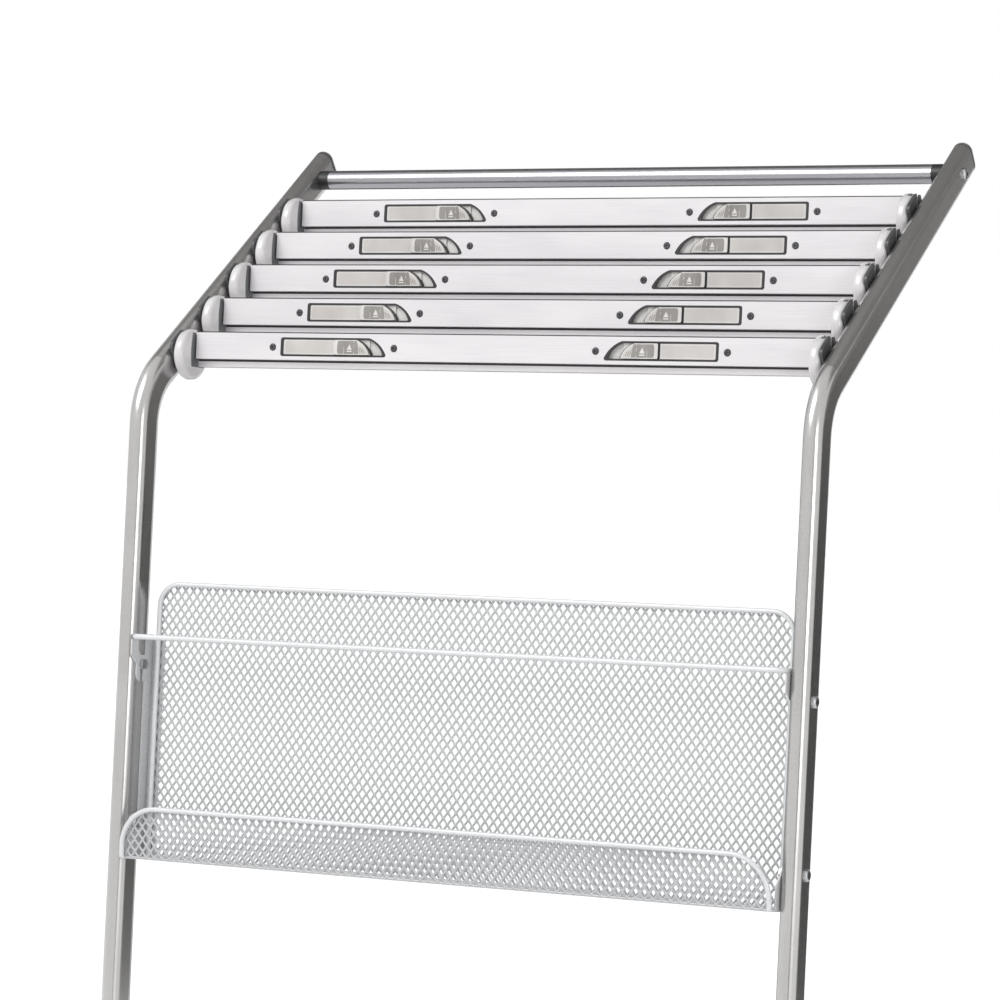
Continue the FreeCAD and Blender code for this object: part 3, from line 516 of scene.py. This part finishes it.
# %% Skins and mouldings
def skin(x, z, front, back):
    """A closed thin sheet over a grid of (x, z): its points at the depths front and back, and the
    quads of both sheets and of the edge."""
    sheets = np.stack([np.stack(np.broadcast_arrays(x, depth, z), -1) for depth in (front, back)])
    index = np.arange(sheets.size // 3).reshape(sheets.shape[:-1])
    quads = [np.stack([s[:-1, :-1], s[1:, :-1], s[1:, 1:], s[:-1, 1:]], -1).reshape(-1, 4)
             for s in index]
    near, far = index
    for a, b in ((near[0], far[0]), (near[-1], far[-1]), (near[:, 0], far[:, 0]),
                 (near[:, -1], far[:, -1])):
        quads.append(np.stack([a[:-1], a[1:], b[1:], b[:-1]], -1))
    return sheets.reshape(-1, 3), np.concatenate(quads)


def moulding(path, outward, profile, room_in=MM, room_out=MM):
    """A closed profile of (outward, back) steps carried along (x, z) points: each point is the
    path's, moved along the outward direction by the step, which is held within the room there."""
    most_in, most_out = (np.broadcast_to(room, len(path))[:, None] for room in (room_in, room_out))
    steps = np.clip(profile[:, 0], -most_in, most_out)
    flat = path[:, None, :] + outward[:, None, :] * steps[..., None]
    depth = np.broadcast_to(profile[:, 1], steps.shape)
    points = np.stack([flat[..., 0], depth, flat[..., 1]], -1)
    index = np.arange(steps.size).reshape(steps.shape)
    after = np.roll(index, -1, axis=1)
    sides = np.stack([index[:-1], after[:-1], after[1:], index[1:]], -1).reshape(-1, 4)
    fan = np.array([[0, 2 * j - 1, 2 * j, 2 * j + 1] for j in range(1, len(profile) // 2)])
    return points.reshape(-1, 3), np.concatenate([sides, index[0][fan], index[-1][fan]])


# %% A trim on a clamp
def trim(name, number, parts, sides, body, finish):
    """Joins shapes, each kept (side 1) or mirrored to the left (side -1), lays them in a clamp and
    lets them ride on one of its bodies."""
    shapes = [(points * (side, 1, 1), quads) for side in sides for points, quads in parts]
    starts = np.cumsum([0] + [len(points) for points, _ in shapes[:-1]])
    points = np.concatenate([points for points, _ in shapes])
    quads = np.concatenate([quads + start for (_, quads), start in zip(shapes, starts)])
    made = mesh_object(f"clamp_{number}_{name}", in_clamp(number, points), quads, finish,
                       smooth=False, closed=True)
    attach(made, f"clamp_{number}_{body}")


# %% [markdown]
# ## The latch's outline
#
# A latch slide is a flat tongue with a raised thumb grip, and its tip is cut on a slanting curve.
# The curve is the circle through three points, which a pair of equal-distance equations gives. The
# grip has a shallow scoop for the thumb, part of a round cylinder.

# %% Sizes of the slide
SLIDE_LOW, SLIDE_HIGH, SLIDE_TIP, CORNER = -6.9 * MM, 7.8 * MM, 136.8 * MM, 1.25 * MM
SLIDE_TALL = SLIDE_HIGH - SLIDE_LOW
SLANT = 14.78 * MM           # how far the tip runs along the bar as it rises
BELLY = (0.36, 0.62)         # shares of the slant and of the height at the curve's middle point
CORNER_STEPS, TIP_STEPS = 8, 24
GRIP_END, GRIP_FRONT, TONGUE_FRONT = 178 * MM, -2.0 * MM, 0.6 * MM
SCOOP_PLACE, SCOOP_RADIUS, SCOOP_DEPTH = 161 * MM, 14 * MM, 1.2 * MM
print("slide:", round(SLIDE_TALL / MM, 1), "mm tall")


# %% Curves of the slide
def circle_through(a, b, c):
    """Centre and radius of the circle whose centre is equally far from three points."""
    centre = np.linalg.solve(2 * np.array([b - a, c - a]), [b @ b - a @ a, c @ c - a @ a])
    return centre, np.linalg.norm(a - centre)


def arc(centre, radius, start, end, count):
    """(points, outward directions) at even angles from start to end."""
    turn = np.linspace(start, end, count)
    outward = np.stack([np.cos(turn), np.sin(turn)], -1)
    return centre + radius * outward, outward


def tip_curve():
    """Up the tip: a quarter circle at the foot, then the slanting circle to the shoulder."""
    tip = np.array([SLIDE_TIP, SLIDE_LOW + CORNER])
    middle = np.array([SLIDE_TIP + BELLY[0] * SLANT, SLIDE_LOW + BELLY[1] * SLIDE_TALL])
    shoulder = np.array([SLIDE_TIP + SLANT, SLIDE_HIGH])
    centre, radius = circle_through(tip, middle, shoulder)
    start, end = (math.atan2(p[1] - centre[1], p[0] - centre[0]) for p in (tip, shoulder))
    foot = arc(tip + (CORNER, 0), CORNER, 1.5 * math.pi, math.pi, CORNER_STEPS)
    slanting = arc(centre, radius, start, end, TIP_STEPS)
    return np.concatenate([foot[0], slanting[0]]), np.concatenate([foot[1], slanting[1]])


def grip_front(x):
    """Depth of the grip's front at x: flat, or further back on the scoop's circle."""
    reach = np.maximum(SCOOP_RADIUS ** 2 - (x - SCOOP_PLACE) ** 2, 0)
    return np.maximum(GRIP_FRONT, GRIP_FRONT + SCOOP_DEPTH - SCOOP_RADIUS + np.sqrt(reach))


# %% [markdown]
# ## Dark edges of the latch, painted shade
#
# The slide's pale body has a black edge round the tip and behind the grip, painted shade for the
# shadow on the walls of the raised thumb piece and in the gap at its tip, so that the thumb piece
# stands out. The tip's edge is an L, down the tip and back over the tongue.
# The grip's edge is a wedge at the foot of its wall, widest where the wall faces along the bar.

# %% Black mouldings of painted shade
# Sections are (outward, back) corners in millimetres.
TIP_SECTION = MM * np.array([[0.06, 3.7], [0.06, 0.54], [-1.7, 0.54],
                             [-1.7, 0.7], [-0.12, 0.7], [-0.12, 3.7]])
GRIP_SECTION = MM * np.array([[0.04, -2.0], [1.45, 0.56], [-0.4, 0.9], [-0.4, -1.8]])
CORNER_ROOM, TIP_ROOM = 1.1 * MM, 2 * MM     # a step inwards stays short of the corner's radius
WEDGE_THIN, WEDGE_WIDER = 0.1, 1.35          # millimetres at the corners' ends, and more between

# Painted shade: black mouldings at the tip and behind the grip stand for the shadow on the thumb piece's walls.
path, outward = tip_curve()
tip_shade_edge = moulding(path, outward, TIP_SECTION,
                    room_in=np.where(np.arange(len(path)) < CORNER_STEPS, CORNER_ROOM, TIP_ROOM))

top = arc(np.array([GRIP_END - CORNER, SLIDE_HIGH - CORNER]), CORNER, 0.5 * math.pi, 0, CORNER_STEPS)
low = arc(np.array([GRIP_END - CORNER, SLIDE_LOW + CORNER]), CORNER, 0, -0.5 * math.pi, CORNER_STEPS)
path, outward = np.concatenate([top[0], low[0]]), np.concatenate([top[1], low[1]])
grip_shade_edge = moulding(path, outward, GRIP_SECTION,
                     room_out=MM * (WEDGE_THIN + WEDGE_WIDER * np.clip(outward[:, 0], 0, 1) ** 2))
print("latch edges:", len(tip_shade_edge[0]), "and", len(grip_shade_edge[0]), "points")

# %% [markdown]
# ## Faces of the latch
#
# A grey pad lines the scoop, and the label place beside it is left blank, as a frosted field with a
# pale border. Between the pad and the tip the surface is a little darker, with three slanted ribs.
# A small pale arrow over a bar marks the pad. Past the slanting tip the window shows a pale floor,
# a white skin that keeps it light in the window's shade: painted light.
# All are skins that follow the front they lie on.

# %% A skin on the grip
across, up = np.meshgrid(np.linspace(0, 1, 25), np.linspace(0, 1, 13), indexing="ij")
end = np.abs(2 * up - 1) ** 6          # 0 along the middle and 1 at the two long edges
SUNK = 0.1                             # millimetres that a skin's back lies inside the solid


def on_grip(x0, x1, z0, z1, proud):
    """A skin on the grip from x0 to x1 and z0 to z1, standing proud of its front (millimetres)."""
    x, z = MM * (x0 + (x1 - x0) * across), MM * (z0 + (z1 - z0) * up)
    return skin(x, z, grip_front(x) - proud * MM, grip_front(x) + SUNK * MM)


# %% Pad, fields and the window's floor
# Millimetres, with x from the bar's middle and z from the line of the screws.
FOOT, PAD_START, PAD_END, PAD_TOP = -6.0, 150, 174.3, 6.9
PAD_LEAN, PAD_ROUND, PAD_PROUD = 2.5, 1.4, 0.06
pad_edge = PAD_START + PAD_LEAN * up ** 2
pad = on_grip(pad_edge, PAD_END - PAD_ROUND * end, FOOT, PAD_TOP, PAD_PROUD)

FIELD_START, FIELD_SPREAD, FIELD_TOP, FIELD_PROUD = 3.2, 14.0, 6.5, 0.05
FIELD_GAP, FIELD_LEAST = 0.4, 0.05     # between field and pad, and the field's least width
tip_x = SLIDE_TIP / MM + FIELD_START + FIELD_SPREAD * up ** 1.7
tip_field = on_grip(tip_x, np.maximum(pad_edge - FIELD_GAP, tip_x + FIELD_LEAST), FOOT, FIELD_TOP,
                    FIELD_PROUD)

LABEL_START, LABEL_LONG, LABEL_ROUND = 181.0, 54.8, 1.1
LABEL_LOW, LABEL_TALL = -5.2, 11.6
label = skin(MM * (LABEL_START + LABEL_ROUND * end + (LABEL_LONG - 2 * LABEL_ROUND * end) * across),
             MM * (LABEL_LOW + LABEL_TALL * up),
             TONGUE_FRONT - FIELD_PROUD * MM, TONGUE_FRONT + SUNK * MM)

# Painted light: a white floor skin that keeps the window's floor pale in its shade.
WINDOW_START, WINDOW_LONG, WINDOW_LOW, WINDOW_TALL = 121, 21, -8.6, 18
WINDOW_FRONT, WINDOW_BACK = 4.02, 4.2
lit_window_floor = skin(MM * (WINDOW_START + WINDOW_LONG * across), MM * (WINDOW_LOW + WINDOW_TALL * up),
                    WINDOW_FRONT * MM, WINDOW_BACK * MM)
print("one pad:", len(pad[0]), "points")

# %% Arrow, bar and ribs
MARK_PLACE, MARK_HALF, MARK_PROUD = 161, 2.8, 0.13
ARROW_LOW, ARROW_HIGH, BAR_LOW, BAR_HIGH = -1.8, 3.6, -4.0, -2.8
taper = MARK_HALF * (1.02 - up)        # never quite to a point, so that no face is lost
arrow = on_grip(MARK_PLACE - taper, MARK_PLACE + taper, ARROW_LOW, ARROW_HIGH, MARK_PROUD)
bar = on_grip(MARK_PLACE - MARK_HALF, MARK_PLACE + MARK_HALF, BAR_LOW, BAR_HIGH, MARK_PROUD)

RIB_START, RIB_APART, RIB_WIDE, RIB_LEAN = 143.4, 2.1, 0.8, 1.8
RIB_LOW, RIB_HIGH, RIB_RISE, RIB_PROUD = -5.0, -0.8, 0.9, 0.11
ribs = []
for i in range(3):
    rib_x = RIB_START + RIB_APART * i + RIB_LEAN * up
    ribs.append(on_grip(rib_x, rib_x + RIB_WIDE, RIB_LOW, RIB_HIGH + RIB_RISE * i, RIB_PROUD))
print("marks:", 2 + len(ribs), "on each pad and tip")

# %% [markdown]
# ## Screw recesses and the strip under the jaw
#
# The cross recesses of the latch screws and the gaps round their heads are filled with shadow on the
# real ones, and a thin dark floor and a thin dark ring give that. Along the foot of each rear bar,
# just under the jaw, runs a thin black strip, and its lower edge shows as a dark line under the jaw.

# %% Crosses and strips
SCREWS, HEAD_RADIUS = (111 * MM, 250 * MM), 3.2 * MM
ARM_HALF, ARM_THIN, CROSS_FRONT, CROSS_BACK = 1.9, 0.4, -0.63, -0.55
ARMS_APART = 0.01            # one arm lies a hair in front, so that the two don't share a plane
RING_SECTION = MM * np.array([[0.55, -0.06], [0.55, 0.05], [-0.3, 0.05], [-0.3, -0.06]])
RING_STEPS = 25
STRIP_SHORT, STRIP_LOW, STRIP_TALL, STRIP_FRONT, STRIP_BACK = 0.5, -14.6, 4.0, 8.12, 8.4
wide, tall = across[::24, ::12], up[::24, ::12]      # a flat skin needs only the grid's corners

crosses = []
for x in SCREWS:
    for half_x, half_z, front in ((ARM_HALF, ARM_THIN, CROSS_FRONT),
                                  (ARM_THIN, ARM_HALF, CROSS_FRONT - ARMS_APART)):
        crosses.append(skin(x + MM * half_x * (2 * wide - 1), MM * half_z * (2 * tall - 1),
                            front * MM, CROSS_BACK * MM))
    crosses.append(moulding(*arc(np.array([x, 0]), HEAD_RADIUS, 0, 2 * math.pi, RING_STEPS),
                            RING_SECTION))
bar_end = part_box("clamp_1_rear_bar")[1].x
strip = skin((bar_end - STRIP_SHORT * MM) * (2 * wide - 1), MM * (STRIP_LOW + STRIP_TALL * tall),
             STRIP_FRONT * MM, STRIP_BACK * MM)
print("screw trims:", len(crosses), "on each half, and one strip", round(2 * bar_end, 4), "m long")

# %% [markdown]
# ## Painted shadow lines along the face and at the bar's ends
#
# A thin black line lies along the top edge of the face, an L in section that wraps the corner:
# painted shadow, for the shadow line under the bead at the face's top. At each end of the bar a
# grey plate stands between the bar and the light end cap, painted shadow for the gap there, and the
# cap's notch is lined grey, painted shade in the notch. These read as the dark lines that part the
# pale pieces.

# %% The line along the face's top, painted shadow
FACE_TOP = 15.0              # millimetres from the line of the screws to the face's top edge
EDGE_PROUD, EDGE_SUNK, EDGE_DOWN, EDGE_BACK, EDGE_SHORT = 0.05, 0.1, 0.95, 1.9, 2.0


def along_bar(section, half):
    """A closed (back, up) section drawn out along x from -half to half. Each end is closed with
    quads between the section's two flanks, the corners counted up and the corners counted down."""
    ends = np.array([-half, half])[:, None]
    flat = np.broadcast_to(section, (2, *section.shape))
    points = np.concatenate([np.broadcast_to(ends[..., None], (*flat.shape[:2], 1)), flat], -1)
    index = np.arange(2 * len(section)).reshape(2, -1)
    after = np.roll(index, -1, axis=1)
    sides = np.stack([index[0], after[0], after[1], index[1]], -1)
    j = np.arange(len(section) // 2 - 1)
    cap = np.stack([j, j + 1, len(section) - 2 - j, len(section) - 1 - j], -1)
    return points.reshape(-1, 3), np.concatenate([sides, index[0][cap], index[1][cap]])


# Painted shadow: a black line at the face's top edge, where the shadow under the bead falls.
face_top_shadow_line = along_bar(MM * np.array([[-EDGE_PROUD, FACE_TOP - EDGE_DOWN],
                                  [-EDGE_PROUD, FACE_TOP + EDGE_PROUD],
                                  [EDGE_BACK, FACE_TOP + EDGE_PROUD],
                                  [EDGE_BACK, FACE_TOP - EDGE_SUNK],
                                  [EDGE_SUNK, FACE_TOP - EDGE_SUNK],
                                  [EDGE_SUNK, FACE_TOP - EDGE_DOWN]]), bar_end - EDGE_SHORT * MM)
print("edging:", len(face_top_shadow_line[0]), "points")

# %% End plates and notch linings, painted shade
PLATE_FRONT, PLATE_BACK, PLATE_LOW, PLATE_TALL = -6.6, 19, -21.0, 34.5
PLATE_BULGE = 0.28           # share of the front's depth that is a bulge at half its height
PLATE_PROUD, PLATE_SUNK = 0.12, 0.1
NOTCH_START, NOTCH_LONG, NOTCH_LOW, NOTCH_TALL = 349.3, 2.8, 13.2, 2.3
NOTCH_FRONT, NOTCH_BACK = -9.5, 13.5


def turned_skin(y, z, x_front, x_back):
    """A skin that faces along x: worked out on (y, z), with its first two coordinates swapped."""
    points, quads = skin(y, z, x_front, x_back)
    return points[:, [1, 0, 2]], quads


# Painted shadow: a grey plate in the gap between the bar's end and the cap. The notch's grey lining is painted
# shade.
bulge = 1 - PLATE_BULGE + PLATE_BULGE * np.sin(math.pi * up)
plate_y = PLATE_FRONT * bulge * (1 - across) + PLATE_BACK * across
end_shade_plate = turned_skin(MM * plate_y, MM * (PLATE_LOW + PLATE_TALL * up),
                        bar_end - PLATE_PROUD * MM, bar_end + PLATE_SUNK * MM)
notch = skin(MM * (NOTCH_START + NOTCH_LONG * wide), MM * (NOTCH_LOW + NOTCH_TALL * tall),
             NOTCH_FRONT * MM, NOTCH_BACK * MM)
print("end plate:", len(end_shade_plate[0]), "points")

# %% [markdown]
# ## The trims of all five clamps
#
# The clamps are alike, so one loop lays the same shapes in each. What belongs to a latch is one
# piece for each side and rides on that latch's slide, and the rest rides on the front or the back
# of the clamp. The strip under the jaw and the painted shadow line along the face's top share one
# dull black, duller than the plastics. The window's floor is a white skin, painted light that keeps
# it pale in the window's shade, and the arrow is printed in an ink of the same white.

# %% Trims on all five clamps
frosted = moulded_plastic("moulded_acrylic_frosted_grey", "#C8C3BF", "#D4D0CC", 0.24, 0.34)
pad_grey = moulded_plastic("moulded_abs_pad_grey", "#8A8682", "#9C9894", 0.28, 0.38, coat=0.3)
# The window floor's white is painted light against the window's shade. The ink's white is print.
window_light_white, white_ink = (moulded_plastic(name, "#DAD7D4", "#E6E4E1", 0.35, 0.45)
                        for name in ("window_floor_painted_light", "printed_ink_white"))
dark_line_black = moulded_plastic("matte_black_dark_lines", "#1B1B1D", "#29292B", 0.5, 0.62)
black, grey = finishes["black_plastic"], finishes["grey_plastic"]
for number in range(1, 6):
    trim("window_floors_painted_light", number, [lit_window_floor], (1, -1), "front", window_light_white)
    trim("screw_recesses", number, crosses, (1, -1), "front", black)
    trim("under_jaw_strip", number, [strip], (1,), "back", dark_line_black)
    # The top line is painted shadow, and the end plates and notch linings are painted shade.
    trim("top_painted_shadow_line", number, [face_top_shadow_line], (1,), "front", dark_line_black)
    trim("end_shade_plates", number, [end_shade_plate, notch], (1, -1), "back", grey)
    for word, side in (("right", 1), ("left", -1)):
        body = f"{word}_latch"
        for name, parts, finish, slot_name in (
                # The edges are painted shade round the thumb piece.
                ("edges", [tip_shade_edge, grip_shade_edge], black, "black_plastic"),
                ("pad", [pad], pad_grey, "grey_plastic"),
                ("fields", [label, tip_field], frosted, "silver_plastic"),
                ("ribs", ribs, pad_grey, "grey_plastic"),
                ("arrow", [arrow, bar], white_ink, "silver_plastic")):
            trim(f"{word}_slide_{name}", number, parts, (side,), body, finish)

# %% [markdown]
# ## Studio: floor and light
#
# The rack stands on a pale floor in a white room. What the camera, gloss and glass see is white: the
# world has a strength of 1 for those rays, and the floor glows a little for them, on top of the
# light that it takes and more so far away, so that its far end meets the white world and the shadow
# near the rack stays. The light that falls on the rack is softer. A large lamp at the upper left
# front draws the long highlight on the posts and tubes, and a smaller one on the right draws a
# second, narrower line.

# %% White for the rays that see
GLOW_NEAR, GLOW_FAR, GLOW_FROM, GLOW_TO = 0.30, 0.66, 0.7, 2.1     # strengths, and metres away
FLOOR_DRIFT = 300


def seen_rays(tree):
    """1 for camera, glossy and transmission rays, and 0 for the rays that only carry light."""
    rays = add_node(tree, "ShaderNodeLightPath")
    seen = add_node(tree, "ShaderNodeMath", {},
                    {0: rays.outputs["Is Camera Ray"], 1: rays.outputs["Is Glossy Ray"]},
                    operation="MAXIMUM")
    return add_node(tree, "ShaderNodeMath", {},
                    {0: seen.outputs[0], 1: rays.outputs["Is Transmission Ray"]},
                    operation="MAXIMUM").outputs[0]


def pale_floor():
    """White paint with a faint drift, whose glow grows with the distance from the origin."""
    material, tree, shader = new_finish("painted_studio_floor", Roughness=0.9,
                                        Emission_Color=hex_colour("#FFFFFF"))
    soft = add_node(tree, "ShaderNodeTexNoise", {"Scale": 1.0, "Detail": 2.0},
                    {"Vector": object_place(tree, FLOOR_DRIFT)})
    tone = add_node(tree, "ShaderNodeValToRGB", {}, {"Fac": soft.outputs["Fac"]})
    two_tones(tone, (0.0, "#EDEDED"), (1.0, "#F5F5F5"))
    place = add_node(tree, "ShaderNodeTexCoord")
    away = add_node(tree, "ShaderNodeVectorMath", {}, {0: place.outputs["Object"]},
                    operation="LENGTH")
    rise = add_node(tree, "ShaderNodeMapRange", {"From Min": GLOW_FROM, "From Max": GLOW_TO,
                    "To Min": GLOW_NEAR, "To Max": GLOW_FAR}, {"Value": away.outputs["Value"]})
    glow = add_node(tree, "ShaderNodeMath", {}, {0: seen_rays(tree), 1: rise.outputs["Result"]},
                    operation="MULTIPLY")
    drive(tree, shader, Base_Color=tone.outputs["Color"], Emission_Strength=glow.outputs[0])
    return material


# %% Floor
FLOOR_HALF, FLOOR_DROP = 12.0, 0.5 * MM          # half its width, and how far it lies below z = 0
steps = np.linspace(-FLOOR_HALF, FLOOR_HALF, 9)
floor_x, floor_y = np.meshgrid(steps, steps, indexing="ij")
floor_points = np.stack([floor_x, floor_y, np.full_like(floor_x, -FLOOR_DROP)], -1)
index = np.arange(floor_x.size).reshape(floor_x.shape)
floor_faces = np.stack([index[:-1, :-1], index[1:, :-1], index[1:, 1:], index[:-1, 1:]], -1)
floor = mesh_object("studio_floor", floor_points, floor_faces.reshape(-1, 4), pale_floor(),
                    smooth=False)

# %% World and lamps
AMBIENT, BACKDROP = 0.50, 1.0
RACK_MIDDLE = Vector((0, 0, 0.8))
world = bpy.data.worlds.new("white_room")
bpy.context.scene.world = world
world.use_nodes = True
tree = world.node_tree
tree.nodes.clear()
white = hex_colour("#FFFFFF")
ambient = add_node(tree, "ShaderNodeBackground", {"Color": white, "Strength": AMBIENT})
backdrop = add_node(tree, "ShaderNodeBackground", {"Color": white, "Strength": BACKDROP})
mixed = add_node(tree, "ShaderNodeMixShader", {},
                 {0: seen_rays(tree), 1: ambient.outputs[0], 2: backdrop.outputs[0]})
add_node(tree, "ShaderNodeOutputWorld", {}, {"Surface": mixed.outputs[0]})


def area_lamp(name, place, size, watts):
    """A square lamp at a place in metres, turned so that its -Z looks at the rack's middle."""
    lamp = bpy.data.lights.new(name, "AREA")
    lamp.shape, lamp.size, lamp.energy = "SQUARE", size, watts
    made = bpy.data.objects.new(name, lamp)
    bpy.context.scene.collection.objects.link(made)
    made.location = place
    made.rotation_mode = "QUATERNION"
    made.rotation_quaternion = (RACK_MIDDLE - Vector(place)).to_track_quat("-Z", "Y")


area_lamp("key_lamp", place=(-1.3, -2.3, 3.3), size=2.0, watts=70)
area_lamp("side_lamp", place=(2.7, -1.9, 1.2), size=1.0, watts=16)

# %% [markdown]
# ## Dark cards for the metal
#
# Bright metal in an all-white room loses its shape, so a product studio stands dark cards just
# outside the view, and the metal draws its edges with them. One card behind the rack on the right
# darkens the flat sides of the posts, more so low down, and its mirror image serves a view from the
# other side. One above and behind draws the top edge of the cross tube, and a narrow one in front
# draws a dark line down each post's nose. Only gloss sees them, so they may stand in the view.

# %% Card felt
FELT_DARK_TO, FELT_PALE_FROM = 0.72, 0.98        # metres above the floor


def card_felt():
    """Felt that is dark grey at the foot and mid grey above, by the height in metres."""
    material, tree, shader = new_finish("grey_felt", Roughness=1.0)
    place = add_node(tree, "ShaderNodeTexCoord")
    axes = add_node(tree, "ShaderNodeSeparateXYZ", {}, {"Vector": place.outputs["Object"]})
    height = add_node(tree, "ShaderNodeMapRange",
                      {"From Min": FELT_DARK_TO, "From Max": FELT_PALE_FROM},
                      {"Value": axes.outputs["Z"]})
    tone = add_node(tree, "ShaderNodeValToRGB", {}, {"Fac": height.outputs["Result"]})
    two_tones(tone, (0.0, "#3C3B3A"), (1.0, "#A3A19F"))
    drive(tree, shader, Base_Color=tone.outputs["Color"])
    return material


# %% Cards
card_finish = card_felt()


def dark_card(name, left, right, depth, height):
    """A sheet ruled between two edges: at each step along it, x runs from left to right, at one
    depth and height, in metres. Only gloss sees it."""
    left, right, depth, height = np.broadcast_arrays(left, right, depth, height)
    points = np.stack([np.stack([x, depth, height], -1) for x in (left, right)])
    index = np.arange(2 * len(depth)).reshape(2, -1)
    quads = np.stack([index[0, :-1], index[1, :-1], index[1, 1:], index[0, 1:]], -1)
    card = mesh_object(name, points, quads, card_finish, smooth=False)
    card.visible_camera = card.visible_diffuse = card.visible_shadow = False
    card.visible_transmission = False


# The side cards widen with depth, as lines of sight do.
side_depth = np.array([1.1, 2.4, 3.0, 3.0])
side_height = np.array([0.01, 0.05, 0.5, 2.8])
inner_edge, outer_edge = 0.45 * side_depth - 0.37, 1.50 * side_depth + 0.40
for name, side in (("right_card", 1), ("left_card", -1)):
    dark_card(name, side * inner_edge, side * outer_edge, side_depth, side_height)
dark_card("front_card", left=2.0, right=2.8, depth=-3.1, height=np.array([0.02, 2.4]))
dark_card("upper_card", left=-2.6, right=2.6, depth=np.array([0.3, 2.0, 2.9]),
          height=np.array([2.7, 2.5, 1.9]))

# %% [markdown]
# ## Camera
#
# The rack is seen from its front right, through a long lens about four metres away, so that its
# sides stay nearly parallel. The camera looks a little downwards, and the frame is then shifted up,
# which moves the view without turning the camera further.

# %% Camera
TURN, TILT = math.radians(27.793), math.radians(4.938)
SENSOR, LENS, SHIFT_UP, FARTHEST = 36.0, 143.4, 0.1, 50
CAMERA_PLACE = (1.8162, -3.4788, 1.0554)
camera_data = bpy.data.cameras.new("camera")
camera_data.sensor_width, camera_data.lens = SENSOR, LENS
camera_data.shift_y = SHIFT_UP
camera_data.clip_end = FARTHEST
camera = bpy.data.objects.new("camera", camera_data)
bpy.context.scene.collection.objects.link(camera)
bpy.context.scene.camera = camera
camera.location = CAMERA_PLACE
forward = Vector((-math.sin(TURN) * math.cos(TILT), math.cos(TURN) * math.cos(TILT),
                  -math.sin(TILT)))
camera.rotation_mode = "QUATERNION"
camera.rotation_quaternion = forward.to_track_quat("-Z", "Y")
print("camera:", round(math.hypot(*CAMERA_PLACE[:2]), 2), "m away along the floor")

# %% View transform
bpy.context.scene.view_settings.view_transform = "Standard"
